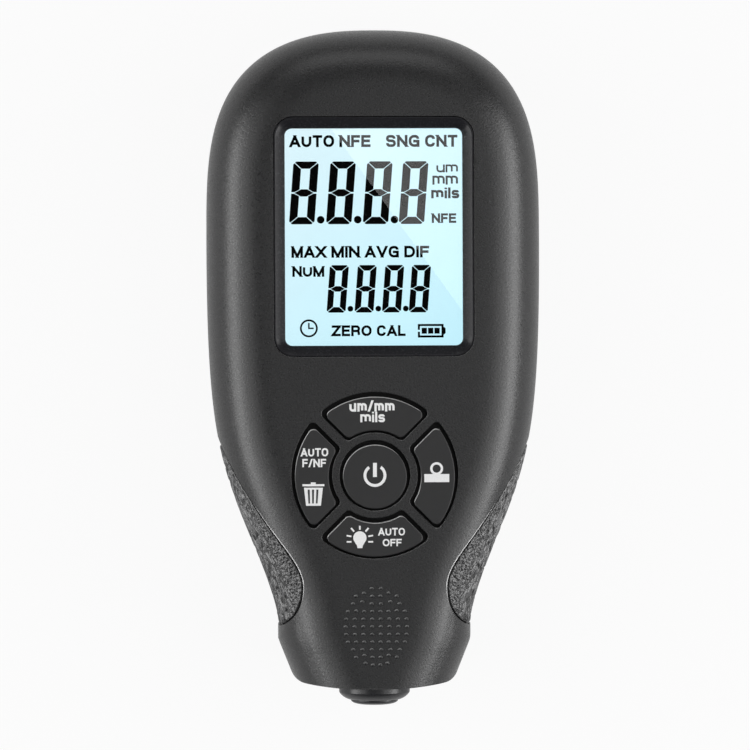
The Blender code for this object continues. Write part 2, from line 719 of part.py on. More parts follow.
def probe_ribs(hollow, side):
    """Leave two ribs in a hollow that trap the probe collar and its rear seat."""
    rim = FRONT_RIM_Z if side > 0 else REAR_RIM_Z
    far = PARTING_Z + side * CASE_DEPTH
    low, high = min(rim, far), max(rim, far)
    for index, (y, radius) in enumerate(((FRONT_RIB_Y, COLLAR_RADIUS + FIT),
                                         (REAR_RIB_Y, LEAD_RADIUS + FIT))):
        tag = f"{hollow.name}_rib_{index}"
        rib = box(tag, (-RIB_HALF_WIDTH, y, low), (RIB_HALF_WIDTH, y + RIB_THICKNESS, high))
        notch = turned(tag + "_notch", [(0.0, y - OVERCUT), (radius, y - OVERCUT),
                                        (radius, y + RIB_THICKNESS + OVERCUT),
                                        (0.0, y + RIB_THICKNESS + OVERCUT)], steps=SMALL_STEPS)
        notch.location.z = PARTING_Z
        combine(rib, notch, 'DIFFERENCE')
        combine(hollow, rib, 'DIFFERENCE')


def front_hollow():
    """The inside of the front case, less its posts, bosses and ribs."""
    hollow = half_body("front_hollow", 1, SIDE_WALL, FACE_WALL, FRONT_RIM_Z - OVERCUT, 4)
    combine(hollow, inner_limit("front_limit", 0.0), 'INTERSECT')
    top = CASE_DEPTH + OVERCUT
    for i, at in enumerate(both_sides(CASE_SCREWS)):
        combine(hollow, drum(f"front_post_{i}", at, CASE_POST_RADIUS, 0.0, top), 'DIFFERENCE')
    for i, at in enumerate(both_sides(BOARD_SCREWS)):
        boss = drum(f"board_boss_{i}", at, BOSS_RADIUS, BOARD_TOP_Z + FIT, top)
        combine(hollow, boss, 'DIFFERENCE')
    probe_ribs(hollow, 1)
    return hollow


def collar_hole():
    """The round hole through the end wall that the probe collar passes."""
    radius = COLLAR_RADIUS + FIT
    inside = CHIN_Y + END_WALL + OVERCUT
    hole = turned("collar_hole", [(0.0, CHIN_Y - OVERCUT * 3), (radius, CHIN_Y - OVERCUT * 3),
                                  (radius, inside), (0.0, inside)])
    hole.location.z = PARTING_Z
    return hole


def front_case(material, chin, pockets, hole):
    """The front moulding: face, keyholes, display opening and thumb pips."""
    case = half_body("front_case", 1, 0.0, 0.0, FRONT_RIM_Z, 6, material)
    combine(case, chin, 'INTERSECT')
    combine(case, front_hollow(), 'DIFFERENCE')
    inset = SIDE_WALL - TONGUE_THICKNESS - FIT
    rebate = flat_body("rebate", inset, FRONT_RIM_Z - OVERCUT, PARTING_Z + TONGUE_HEIGHT + FIT)
    combine(rebate, inner_limit("rebate_limit", 0.0), 'INTERSECT')
    for i, at in enumerate(both_sides(CASE_SCREWS)):
        keep = drum(f"rebate_post_{i}", at, CASE_POST_RADIUS, 0.0, CASE_DEPTH)
        combine(rebate, keep, 'DIFFERENCE')
    combine(case, rebate, 'DIFFERENCE')
    opening = rounded_box((0.0, DISPLAY_Y), VIEW_WIDTH + 2 * BEZEL_BORDER,
                          VIEW_HEIGHT + 2 * BEZEL_BORDER, BEZEL_CORNER)
    low, high = FACE_INSIDE_Z - OVERCUT, CASE_DEPTH + OVERCUT
    combine(case, plate("display_opening", [opening], low, high), 'DIFFERENCE')
    for name, direction in ring_keys():
        combine(case, plate(name + "_hole", [key_hole(direction)], low, high), 'DIFFERENCE')
    centre = drum("key_power_hole", (0.0, KEYS_Y), CENTRE_HOLE_RADIUS, low, high, steps=ROUND_STEPS)
    combine(case, centre, 'DIFFERENCE')
    for i, at in enumerate(both_sides(CASE_SCREWS)):
        pilot = drum(f"case_pilot_{i}", at, CASE_SHANK_RADIUS + FIT, 0.0,
                     CASE_SCREW_TOP_Z + FIT)
        combine(case, pilot, 'DIFFERENCE')
    for i, at in enumerate(both_sides(BOARD_SCREWS)):
        pilot = drum(f"board_pilot_{i}", at, BOARD_SHANK_RADIUS + FIT, 0.0,
                     BOARD_SCREW_TOP_Z + FIT, steps=TINY_STEPS)
        combine(case, pilot, 'DIFFERENCE')
    for cutter in (*pockets, hole):
        combine(case, cutter, 'DIFFERENCE')
    combine(case, thumb_pips(), 'UNION')
    return case


def rear_hollow():
    """The inside of the rear case, less its posts, ribs and battery box."""
    hollow = half_body("rear_hollow", -1, SIDE_WALL, FACE_WALL, REAR_RIM_Z + OVERCUT, 3)
    combine(hollow, inner_limit("rear_limit", 0.0), 'INTERSECT')
    for i, at in enumerate(both_sides(CASE_SCREWS)):
        post = drum(f"rear_post_{i}", at, CASE_POST_RADIUS, -OVERCUT, PARTING_Z + OVERCUT)
        combine(hollow, post, 'DIFFERENCE')
    probe_ribs(hollow, -1)
    half = BAY_HALF_WIDTH + BAY_WALL
    tub = box("bay_box", (-half, BAY_BOTTOM_Y - BAY_WALL, -OVERCUT),
              (half, BAY_TOP_Y + BAY_WALL, CASE_DEPTH))
    half = DOOR_HALF_WIDTH + FIT + BAY_WALL
    frame = box("bay_frame", (-half, DOOR_BOTTOM_Y - FIT - BAY_WALL, -OVERCUT),
                (half, DOOR_TOP_Y + LUG_REACH + FIT + BAY_WALL, FRAME_HEIGHT))
    combine(hollow, tub, 'DIFFERENCE')
    combine(hollow, frame, 'DIFFERENCE')
    return hollow


def bay_cutters():
    """Cutters for the cell bay, the door's recess, its lug pockets and the scoop."""
    cell_bay = box("cell_bay", (-BAY_HALF_WIDTH, BAY_BOTTOM_Y, -OVERCUT),
                   (BAY_HALF_WIDTH, BAY_TOP_Y, BAY_ROOF_Z))
    middle = (0.0, (DOOR_BOTTOM_Y + DOOR_TOP_Y) / 2)
    recess = rounded_box(middle, 2 * (DOOR_HALF_WIDTH + FIT),
                         DOOR_TOP_Y - DOOR_BOTTOM_Y + 2 * FIT, DOOR_CORNER + FIT)
    cutters = [cell_bay, plate("door_recess", [recess], -OVERCUT, RECESS_Z)]
    half = LUG_WIDTH / 2 + FIT
    for side in (1, -1):
        low_x, high_x = side * LUG_X - half, side * LUG_X + half
        notch = box(f"lug_notch_{side}", (low_x, BAY_TOP_Y - OVERCUT, RECESS_Z - OVERCUT),
                    (high_x, DOOR_TOP_Y + FIT, LUG_TOP_Z + 2 * FIT))
        pocket = box(f"lug_pocket_{side}", (low_x, BAY_TOP_Y, DOOR_THICKNESS + LUG_LIFT - FIT),
                     (high_x, DOOR_TOP_Y + LUG_REACH + FIT, LUG_TOP_Z + 2 * FIT))
        cutters += [notch, pocket]
    scoop_at = (0.0, DOOR_BOTTOM_Y - FIT)
    cutters.append(drum("finger_scoop", scoop_at, SCOOP_RADIUS, -OVERCUT, SCOOP_DEPTH))
    for side in (1, -1):
        x = side * CELL_PITCH / 2
        half = CONTACT_TAB_WIDTH / 2 + FIT
        y = BAY_TOP_Y - FIT - CONTACT_THICKNESS
        slot = box(f"tab_slot_{side}", (x - half, y - FIT, BAY_ROOF_Z - OVERCUT),
                   (x + half, BAY_TOP_Y, PARTING_Z + OVERCUT))
        cutters.append(slot)
    return cutters


def rear_case(material, chin, pockets, hole):
    """The rear moulding: back, battery box, screw posts and the tongue at the rim."""
    case = half_body("rear_case", -1, 0.0, 0.0, REAR_RIM_Z, 4, material)
    combine(case, chin, 'INTERSECT')
    combine(case, rear_hollow(), 'DIFFERENCE')
    tongue = flat_body("tongue", SIDE_WALL - TONGUE_THICKNESS, REAR_RIM_Z - OVERCUT,
                       PARTING_Z + TONGUE_HEIGHT)
    inside = flat_body("tongue_inside", SIDE_WALL, REAR_RIM_Z - 2 * OVERCUT, CASE_DEPTH)
    combine(tongue, inside, 'DIFFERENCE')
    combine(tongue, inner_limit("tongue_limit", FIT), 'INTERSECT')
    for i, at in enumerate(both_sides(CASE_SCREWS)):
        gap = drum(f"tongue_gap_{i}", at, CASE_POST_RADIUS + FIT, REAR_RIM_Z, CASE_DEPTH)
        combine(tongue, gap, 'DIFFERENCE')
    combine(case, tongue, 'UNION')
    for cutter in bay_cutters():
        combine(case, cutter, 'DIFFERENCE')
    for i, at in enumerate(both_sides(CASE_SCREWS)):
        head_top = CASE_HEAD_Z + CASE_HEAD_HEIGHT + FIT
        bore = drum(f"counterbore_{i}", at, CASE_HEAD_RADIUS + FIT, -OVERCUT, head_top)
        combine(case, bore, 'DIFFERENCE')
        shaft = drum(f"screw_hole_{i}", at, CASE_SHANK_RADIUS + FIT, 0.0, CASE_DEPTH)
        combine(case, shaft, 'DIFFERENCE')
    for cutter in (*pockets, hole):
        combine(case, cutter, 'DIFFERENCE')
    return case


def grips(material, body):
    """The two rubber side grips, each a skin over the case's flank."""
    core = whole_body("grip_core", GRIP_THICKNESS)
    right = grip_region("grip_right", 0.0)
    combine(right, body, 'INTERSECT')
    combine(right, core, 'DIFFERENCE')
    left = mirrored("grip_left", right)
    for item in (right, left):
        item.hide_render = False
        item.display_type = 'TEXTURED'
        CUTTERS.objects.unlink(item)
        PARTS.objects.link(item)
        item.data.materials.append(material)


# Display

def display_bezel(material):
    """The frame round the display, sloping in to a lip over the window."""
    centre = (0.0, DISPLAY_Y)
    outer_width = VIEW_WIDTH + 2 * BEZEL_BORDER
    outer_height = VIEW_HEIGHT + 2 * BEZEL_BORDER
    body = rounded_box(centre, outer_width - 2 * FIT, outer_height - 2 * FIT, BEZEL_CORNER - FIT)
    bezel = plate("display_bezel", [body], BEZEL_FLANGE_Z + FIT, BEZEL_TOP_Z, material)
    flange = rounded_box(centre, outer_width + 2 * BEZEL_FLANGE, outer_height + 2 * BEZEL_FLANGE,
                         BEZEL_CORNER + BEZEL_FLANGE)
    combine(bezel, plate("bezel_flange", [flange], BEZEL_FLANGE_Z, FLANGE_TOP_Z), 'UNION')
    widen = BEZEL_BORDER - FIT - BEZEL_RIM
    round_out = BEZEL_CORNER - FIT - BEZEL_RIM - VIEW_CORNER
    lip_z = BEZEL_TOP_Z - BEZEL_SLOPE_DEPTH
    rings = []
    for z in (BEZEL_FLANGE_Z - OVERCUT, lip_z, BEZEL_TOP_Z + OVERCUT):
        share = max(0.0, (z - lip_z) / BEZEL_SLOPE_DEPTH)
        rings.append((z, rounded_box(centre, VIEW_WIDTH + 2 * widen * share,
                                     VIEW_HEIGHT + 2 * widen * share,
                                     VIEW_CORNER + round_out * share)))
    combine(bezel, loft("bezel_view", rings), 'DIFFERENCE')
    reach = 2 * (WINDOW_OVERLAP + FIT)
    seat = rounded_box(centre, VIEW_WIDTH + reach, VIEW_HEIGHT + reach, VIEW_CORNER + FIT)
    under = plate("window_seat", [seat], BEZEL_FLANGE_Z - OVERCUT, BEZEL_LIP_Z)
    combine(bezel, under, 'DIFFERENCE')


def display_stack(window, glass, light, frame, strip):
    """The window, the display glass, its backlight, their carrier and the contact strip."""
    centre = (0.0, DISPLAY_Y)
    lens = rounded_box(centre, VIEW_WIDTH + 2 * WINDOW_OVERLAP, VIEW_HEIGHT + 2 * WINDOW_OVERLAP,
                       VIEW_CORNER)
    lens_top = BEZEL_LIP_Z - FIT
    plate("display_window", [lens], lens_top - WINDOW_THICKNESS, lens_top, window, bevel=WINDOW_BEVEL)
    half_x, half_y = GLASS_WIDTH / 2, GLASS_HEIGHT / 2
    bottom = DISPLAY_Y - half_y
    box("lcd_glass", (-half_x, bottom, GLASS_Z),
        (half_x, DISPLAY_Y + half_y, GLASS_Z + GLASS_THICKNESS), glass)
    strip_low = bottom + ZEBRA_MARGIN
    light_low = strip_low + ZEBRA_THICKNESS + FIT
    box("backlight_panel", (-half_x, light_low, BACKLIGHT_Z),
        (half_x, DISPLAY_Y + half_y, BACKLIGHT_Z + BACKLIGHT_THICKNESS), light)
    outer = rounded_box(centre, 2 * CARRIER_HALF_WIDTH, 2 * (CARRIER_TOP_Y - DISPLAY_Y),
                        CARRIER_WALL)
    carrier = plate("lcd_carrier", [outer], CARRIER_Z, GLASS_Z + GLASS_THICKNESS - FIT, frame)
    pocket = rounded_box(centre, GLASS_WIDTH + 2 * FIT, GLASS_HEIGHT + 2 * FIT, FIT, 1)
    combine(carrier, plate("glass_pocket", [pocket], BACKLIGHT_Z - FIT, CASE_DEPTH), 'DIFFERENCE')
    well = rounded_box(centre, GLASS_WIDTH - 2 * CARRIER_SIDE_LEDGE,
                       GLASS_HEIGHT - 2 * CARRIER_END_LEDGE, CARRIER_WALL)
    combine(carrier, plate("carrier_window", [well], 0.0, CASE_DEPTH), 'DIFFERENCE')
    half = GLASS_WIDTH / 2 - ZEBRA_INSET
    slot = box("strip_slot", (-half - FIT, strip_low - FIT, 0.0),
               (half + FIT, strip_low + ZEBRA_THICKNESS + FIT, CASE_DEPTH))
    combine(carrier, slot, 'DIFFERENCE')
    box("zebra_strip", (-half, strip_low, BOARD_TOP_Z + FIT),
        (half, strip_low + ZEBRA_THICKNESS, GLASS_Z - FIT), strip)


# Electronics

def circuit_board(material):
    """The board that carries the display, the keypad contacts and the screws."""
    outline = case_outline(BOARD_INSET)
    slab = loft("circuit_board", [(BOARD_Z, outline), (BOARD_TOP_Z, outline)], material)
    far = 2 * HEAD_RISE
    area = [(-far, BOARD_TOP_Y), (-far, BOARD_SHOULDER_Y),
            (-BOARD_TAIL_HALF_WIDTH, BOARD_SHOULDER_Y), (-BOARD_TAIL_HALF_WIDTH, BOARD_END_Y),
            (BOARD_TAIL_HALF_WIDTH, BOARD_END_Y), (BOARD_TAIL_HALF_WIDTH, BOARD_SHOULDER_Y),
            (far, BOARD_SHOULDER_Y), (far, BOARD_TOP_Y)]
    combine(slab, plate("board_area", [area], 0.0, CASE_DEPTH), 'INTERSECT')
    for i, at in enumerate(both_sides(BOARD_SCREWS)):
        hole = drum(f"board_hole_{i}", at, BOARD_SHANK_RADIUS + FIT, 0.0, CASE_DEPTH,
                    steps=TINY_STEPS)
        combine(slab, hole, 'DIFFERENCE')


def board_fittings(chip, socket):
    """The processor and the probe lead's socket, under the board."""
    x, y = CHIP_AT
    half = CHIP_SIZE / 2
    box("microcontroller", (x - half, y - half, BOARD_Z - FIT - CHIP_THICKNESS),
        (x + half, y + half, BOARD_Z - FIT), chip)
    width, depth, height = SOCKET_SIZE
    box("lead_connector", (-width / 2, SOCKET_AT_Y - depth / 2, BOARD_Z - FIT - height),
        (width / 2, SOCKET_AT_Y + depth / 2, BOARD_Z - FIT), socket)


# Keys

def ring_key(name, direction, material):
    """One quarter-ring key with its retaining flange, sprung along Z."""
    cap = [(x, y - KEY_DROP) for x, y in key_hole(direction, -KEY_GAP)]
    key = plate(name, [cap], KEY_BASE_Z + KEY_FLANGE_THICKNESS / 2, CASE_DEPTH + KEY_PROUD,
                material, bevel=KEY_BEVEL)
    flange = plate(name + "_flange", [key_hole(direction, KEY_FLANGE)], KEY_BASE_Z, FLANGE_TOP_Z)
    combine(key, flange, 'UNION')
    middle = (RING_INNER_RADIUS + RING_OUTER_RADIUS) / 2
    set_origin(key, (middle * math.cos(direction), KEYS_Y + middle * math.sin(direction),
                     KEY_BASE_Z))


def centre_key(material):
    """The round power key."""
    at = (0.0, KEYS_Y)
    cap_at = (0.0, KEYS_Y - KEY_DROP)
    key = plate("key_power", [circle(cap_at, CENTRE_HOLE_RADIUS - KEY_GAP)],
                KEY_BASE_Z + KEY_FLANGE_THICKNESS / 2, CASE_DEPTH + KEY_PROUD, material,
                bevel=KEY_BEVEL)
    flange = drum("key_power_flange", at, CENTRE_HOLE_RADIUS + FIT, KEY_BASE_Z, FLANGE_TOP_Z,
                  steps=ROUND_STEPS)
    combine(key, flange, 'UNION')
    set_origin(key, (*at, KEY_BASE_Z))


def keypad_mat(material):
    """The rubber mat under the keys, with a plunger below each, raised by the key's travel."""
    at = (0.0, KEYS_Y)
    low = BOARD_TOP_Z + FIT
    mat = drum("keypad_mat", at, MAT_RADIUS, low, low + MAT_THICKNESS, material, ROUND_STEPS)
    middle = (RING_INNER_RADIUS + RING_OUTER_RADIUS) / 2
    spots = [(0.0, 0.0)]
    spots += [(middle * math.cos(a), middle * math.sin(a)) for name, a in ring_keys()]
    top = KEY_BASE_Z - FIT
    for i, (x, y) in enumerate(spots):
        spot = (x, y + KEYS_Y)
        dome = drum(f"dome_{i}", spot, MAT_DOME_RADIUS, low + MAT_THICKNESS / 2, top)
        combine(mat, dome, 'UNION')
        hollow = drum(f"dome_hollow_{i}", spot, MAT_DOME_RADIUS - MAT_DOME_WALL, low - OVERCUT,
                      low + KEY_TRAVEL + FIT)
        combine(mat, hollow, 'DIFFERENCE')


# Probe

def on_axis(item):
    """Set a turned piece on the probe's axis."""
    item.location.z = PARTING_Z
    return item


def probe_collar(material):
    """The fixed collar: a rounded nose, a trapped flange and a stepped bore."""
    tip, end = COLLAR_TIP_Y, COLLAR_END_Y
    flange = COLLAR_RADIUS + COLLAR_FLANGE
    bore = PROBE_RADIUS + SLIDE_FIT
    back = PROBE_SHOULDER_RADIUS + FIT
    nose = [(COLLAR_NOSE_RADIUS, tip)]
    drop = COLLAR_RADIUS - COLLAR_NOSE_RADIUS
    for i in range(1, 5):
        angle = math.pi / 2 * i / 4
        out = max(math.sin(angle), 0.0) ** COLLAR_NOSE_SHAPE
        back_off = 1 - max(math.cos(angle), 0.0) ** COLLAR_NOSE_SHAPE
        nose.append((COLLAR_NOSE_RADIUS + drop * out, tip + COLLAR_NOSE_LENGTH * back_off))
    profile = [(bore, tip + COLLAR_LIP)] + nose + [
        (COLLAR_RADIUS, COLLAR_FLANGE_Y), (flange, COLLAR_FLANGE_Y),
        (flange, COLLAR_FLANGE_Y + COLLAR_FLANGE_THICKNESS),
        (COLLAR_RADIUS, COLLAR_FLANGE_Y + COLLAR_FLANGE_THICKNESS), (COLLAR_RADIUS, end),
        (back, end), (back, tip + COLLAR_STEP), (bore, tip + COLLAR_STEP)]
    return on_axis(turned("probe_collar", profile, material, closed=True))


def probe_body(material):
    """The sliding probe barrel, with a shoulder behind the collar's step."""
    tip, end = PROBE_TIP_Y, PROBE_END_Y
    shoulder = COLLAR_TIP_Y + COLLAR_STEP + FIT
    hole = POLE_RADIUS + SLIDE_FIT
    edge = [(PROBE_RADIUS - PROBE_EDGE * (1 - math.sin(a)), tip + PROBE_EDGE_LENGTH * (1 - math.cos(a)))
            for a in (0.0, math.pi / 6, math.pi / 3, math.pi / 2)]
    profile = [(hole, tip)] + edge + [
        (PROBE_RADIUS, shoulder), (PROBE_SHOULDER_RADIUS, shoulder),
        (PROBE_SHOULDER_RADIUS, shoulder + PROBE_SHOULDER_LENGTH),
        (PROBE_GUIDE_RADIUS, shoulder + PROBE_SHOULDER_LENGTH), (PROBE_GUIDE_RADIUS, end),
        (PROBE_BORE_RADIUS, end), (PROBE_BORE_RADIUS, tip + PROBE_FACE_WALL),
        (hole, tip + PROBE_FACE_WALL)]
    return on_axis(turned("probe_body", profile, material, closed=True))


def probe_core(pole, winding):
    """The pole pin with its domed tip, and the coil wound round it."""
    tip = PROBE_TIP_Y - POLE_PROUD
    end = PROBE_END_Y - FIT
    dome = [(POLE_RADIUS * math.sin(a), tip + 2 * POLE_PROUD * (1 - math.cos(a)))
            for a in (0.0, math.pi / 6, math.pi / 3, math.pi / 2)]
    on_axis(turned("probe_pole", dome + [(POLE_RADIUS, end), (0.0, end)], pole, SMALL_STEPS))
    low = PROBE_TIP_Y + PROBE_FACE_WALL + FIT
    inner, outer = POLE_RADIUS + FIT, PROBE_BORE_RADIUS - FIT
    on_axis(turned("probe_coil", [(inner, low), (outer, low), (outer, low + COIL_LENGTH),
                                  (inner, low + COIL_LENGTH)], winding, SMALL_STEPS, True))


def helix(turns, low, high, start_radius, end_radius, per_turn=10):
    """Points on a helix about the Y axis, on the probe's axis height."""
    count = turns * per_turn
    points = []
    for i in range(count + 1):
        share = i / count
        angle = 2 * math.pi * i / per_turn
        radius = start_radius + (end_radius - start_radius) * share
        points.append((radius * math.cos(angle), low + (high - low) * share,
                       radius * math.sin(angle)))
    return points


def probe_rear(spring_material, seat_material, lead_material):
    """The return spring, the seat that closes the collar and the lead to the board."""
    shoulder = COLLAR_TIP_Y + COLLAR_STEP + FIT + PROBE_SHOULDER_LENGTH
    plug = SEAT_PLUG_Y
    half_wire = SPRING_WIRE / 2
    coil = helix(PROBE_SPRING_TURNS, shoulder + FIT + half_wire, plug - FIT - half_wire,
                 PROBE_SPRING_RADIUS, PROBE_SPRING_RADIUS)
    spring = wire("probe_spring", coil, half_wire, spring_material)
    spring.location.z = PARTING_Z
    hole = LEAD_RADIUS + FIT
    spigot = PROBE_SHOULDER_RADIUS
    profile = [(hole, plug), (spigot, plug), (spigot, SEAT_Y), (COLLAR_RADIUS, SEAT_Y),
               (COLLAR_RADIUS, SEAT_Y + SEAT_FLANGE_THICKNESS),
               (hole, SEAT_Y + SEAT_FLANGE_THICKNESS)]
    on_axis(turned("spring_seat", profile, seat_material, closed=True))
    start = REAR_RIB_Y + RIB_THICKNESS + FIT
    end = SOCKET_AT_Y - SOCKET_SIZE[1] / 2 - FIT
    drop = SOCKET_SIZE[2] / 2 + FIT + PARTING_Z - BOARD_Z
    points = [(0.0, plug + FIT, PARTING_Z)]
    for i in range(9):
        share = i / 8
        ease = share * share * (3 - 2 * share)
        points.append((0.0, start + (end - start) * share, PARTING_Z - drop * ease))
    wire("probe_lead", points, LEAD_RADIUS, lead_material)


# Batteries, contacts and door

def battery(name, x, nub_y, sign, material):
    """A round cell lying along Y, with its nub towards sign."""
    base = nub_y - sign * CELL_LENGTH
    shoulder = nub_y - sign * CELL_NUB_LENGTH
    profile = [(0.0, nub_y), (CELL_NUB_RADIUS, nub_y), (CELL_NUB_RADIUS, shoulder),
               (CELL_RADIUS - CELL_EDGE, shoulder), (CELL_RADIUS, shoulder - sign * CELL_EDGE),
               (CELL_RADIUS, base + sign * CELL_EDGE), (CELL_RADIUS - CELL_EDGE, base),
               (0.0, base)]
    if sign > 0:
        profile.reverse()
    cell = turned(name, profile, material, 16)
    cell.location = (x, 0.0, CELL_Z)


def contact_plate(name, low_x, high_x, y, material, tab=None):
    """A flat contact across the bay's end, with an upright tab if one is given."""
    item = box(name, (low_x, y, CONTACT_LOW_Z), (high_x, y + CONTACT_THICKNESS, CONTACT_HIGH_Z),
               material)
    if tab is not None:
        half = CONTACT_TAB_WIDTH / 2
        blade = box(name + "_tab", (tab - half, y, CONTACT_HIGH_Z - OVERCUT),
                    (tab + half, y + CONTACT_THICKNESS, BOARD_Z - FIT))
        combine(item, blade, 'UNION')
    return item


def add_dimple(item, x, y, sign):
    """A raised spot that meets a cell's nub."""
    depth = CONTACT_DIMPLE + CONTACT_THICKNESS / 2
    profile = [(0.0, 0.0), (CONTACT_DIMPLE_TIP, 0.0), (CONTACT_DIMPLE_BASE, sign * depth),
               (0.0, sign * depth)]
    if sign < 0:
        profile.reverse()
    spot = turned(item.name + "_dimple", profile, steps=SMALL_STEPS)
    spot.location = (x, y, CELL_Z)
    combine(item, spot, 'UNION')


def add_spring(item, x, y, sign):
    """A tapered coil that presses on a cell's flat end."""
    coil = helix(CONTACT_SPRING_TURNS, 0.0, sign * CONTACT_SPRING_LENGTH, CONTACT_SPRING_BASE,
                 CONTACT_SPRING_TIP)
    spring = wire(item.name + "_spring", coil, SPRING_WIRE / 2)
    spring.location = (x, y, CELL_Z)
    combine(item, spring, 'UNION')


def battery_set(cell_material, contact_material):
    """Two cells side by side, head to tail, with their three contacts."""
    half = CELL_PITCH / 2
    low = BAY_BOTTOM_Y + FIT
    high = BAY_TOP_Y - FIT - CONTACT_THICKNESS
    inner_low = low + CONTACT_THICKNESS
    battery("battery_left", -half, high - CONTACT_DIMPLE - FIT, 1, cell_material)
    battery("battery_right", half, inner_low + CONTACT_DIMPLE + FIT, -1, cell_material)
    outer = half + CONTACT_HALF_WIDTH
    bridge = contact_plate("contact_bridge", -outer, outer, low, contact_material)
    add_dimple(bridge, half, inner_low + CONTACT_DIMPLE, -1)
    add_spring(bridge, -half, inner_low - CONTACT_THICKNESS / 2 + SPRING_WIRE / 2, 1)
    inner = half - CONTACT_HALF_WIDTH
    positive = contact_plate("contact_positive", -outer, -inner, high, contact_material, -half)
    add_dimple(positive, -half, high - CONTACT_DIMPLE, 1)
    negative = contact_plate("contact_negative", inner, outer, high, contact_material, half)
    add_spring(negative, half, high + CONTACT_THICKNESS / 2 - SPRING_WIRE / 2, -1)


def battery_door(material):
    """The door in the back, hooked by two lugs and turning on its upper outer edge."""
    middle = (0.0, (DOOR_BOTTOM_Y + DOOR_TOP_Y) / 2)
    outline = rounded_box(middle, 2 * DOOR_HALF_WIDTH, DOOR_TOP_Y - DOOR_BOTTOM_Y, DOOR_CORNER)
    door = plate("battery_door", [outline], 0.0, DOOR_THICKNESS, material)
    half = LUG_WIDTH / 2
    lug_low = DOOR_THICKNESS + LUG_LIFT
    for side in (1, -1):
        x = side * LUG_X
        back = DOOR_TOP_Y - FIT - LUG_POST
        post = box(f"lug_post_{side}", (x - half, back, DOOR_THICKNESS / 2),
                   (x + half, DOOR_TOP_Y - FIT, lug_low + LUG_THICKNESS))
        hook = box(f"lug_hook_{side}", (x - half, back + FIT, lug_low),
                   (x + half, DOOR_TOP_Y + LUG_REACH, lug_low + LUG_THICKNESS))
        combine(post, hook, 'UNION')
        combine(door, post, 'UNION')
    latch_y = BAY_BOTTOM_Y + 2 * FIT
    latch = box("latch_finger", (-LATCH_WIDTH / 2, latch_y, DOOR_THICKNESS / 2),
                (LATCH_WIDTH / 2, latch_y + LATCH_THICKNESS, DOOR_THICKNESS + LATCH_HEIGHT))
    combine(door, latch, 'UNION')
    set_origin(door, (0.0, DOOR_TOP_Y, 0.0))


# Screws

def screw(name, at, head_z, head_radius, head_height, shank_radius, top, material):
    """A plain screw pointing up, with its head at the bottom."""
    item = drum(name, at, head_radius, head_z, head_z + head_height, material)
    shank = loft(name + "_shank", [
        (head_z + head_height * SHANK_ROOT_SHARE, circle(at, shank_radius, TINY_STEPS)),
        (top - shank_radius, circle(at, shank_radius, TINY_STEPS)),
        (top, circle(at, shank_radius * SHANK_TIP_SHARE, TINY_STEPS))])
    combine(item, shank, 'UNION')
    drive = drum(name + "_drive", at, head_radius * DRIVE_SHARE, head_z - OVERCUT,
                 head_z + head_height / 2, steps=6)
    combine(item, drive, 'DIFFERENCE')


def screws(material):
    """Four screws through the back and four under the board."""
    for i, at in enumerate(both_sides(CASE_SCREWS)):
        screw(f"case_screw_{i + 1}", at, CASE_HEAD_Z, CASE_HEAD_RADIUS, CASE_HEAD_HEIGHT,
              CASE_SHANK_RADIUS, CASE_SCREW_TOP_Z, material)
    for i, at in enumerate(both_sides(BOARD_SCREWS)):
        screw(f"board_screw_{i + 1}", at, BOARD_Z - FIT - BOARD_HEAD_HEIGHT, BOARD_HEAD_RADIUS,
              BOARD_HEAD_HEIGHT, BOARD_SHANK_RADIUS, BOARD_SCREW_TOP_Z, material)


def build():
    """Model the whole gauge."""
    housing = finish("housing plastic", (0.045, 0.045, 0.047), 0.5)
    rubber = finish("grip rubber", (0.02, 0.02, 0.021), 0.55)
    key_plastic = finish("key plastic", (0.035, 0.035, 0.036), 0.5)
    bezel_plastic = finish("bezel plastic", (0.02, 0.021, 0.023), 0.25)
    steel = finish("plated steel", (0.6, 0.6, 0.6), 0.35, 1.0)
    body = whole_body("body_shape", 0.0)
    chin = chin_prism()
    pockets = grip_pockets(whole_body("pocket_core", GRIP_THICKNESS + FIT))
    hole = collar_hole()
    front_case(housing, chin, pockets, hole)
    rear_case(housing, chin, pockets, hole)
    grips(rubber, body)
    display_bezel(bezel_plastic)
    display_stack(finish("clear window", (0.9, 0.95, 0.95), 0.05, alpha=0.3),
                  finish("display glass", (0.6, 0.85, 0.9), 0.1),
                  finish("backlight", (0.9, 0.95, 1.0), 0.4),
                  finish("carrier plastic", (0.75, 0.75, 0.73), 0.5),
                  finish("contact strip", (0.3, 0.3, 0.32), 0.6))
    circuit_board(finish("board laminate", (0.02, 0.15, 0.05), 0.45))
    board_fittings(finish("chip resin", (0.02, 0.02, 0.02), 0.4),
                   finish("socket plastic", (0.8, 0.78, 0.7), 0.5))
    for name, direction in ring_keys():
        ring_key(name, direction, key_plastic)
    centre_key(key_plastic)
    keypad_mat(finish("mat rubber", (0.25, 0.25, 0.26), 0.7))
    probe_collar(finish("collar plastic", (0.02, 0.02, 0.022), 0.35))
    probe_body(finish("probe plastic", (0.025, 0.025, 0.027), 0.4))
    probe_core(finish("pole steel", (0.55, 0.55, 0.56), 0.3, 1.0),
               finish("coil copper", (0.7, 0.3, 0.15), 0.35, 1.0))
    probe_rear(steel, finish("seat plastic", (0.05, 0.05, 0.05), 0.5),
               finish("lead jacket", (0.03, 0.03, 0.03), 0.5))
    battery_set(finish("cell jacket", (0.12, 0.14, 0.18), 0.35), steel)
    battery_door(housing)
    screws(steel)


build()
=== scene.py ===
"""Finished surfaces of a handheld coating thickness gauge, with its studio.

The file is laid out as an add-on and run as a script.
"""
import math

import bmesh
import bpy
import numpy as np
from bpy.props import FloatProperty, FloatVectorProperty, PointerProperty
from mathutils import Matrix, Vector, noise


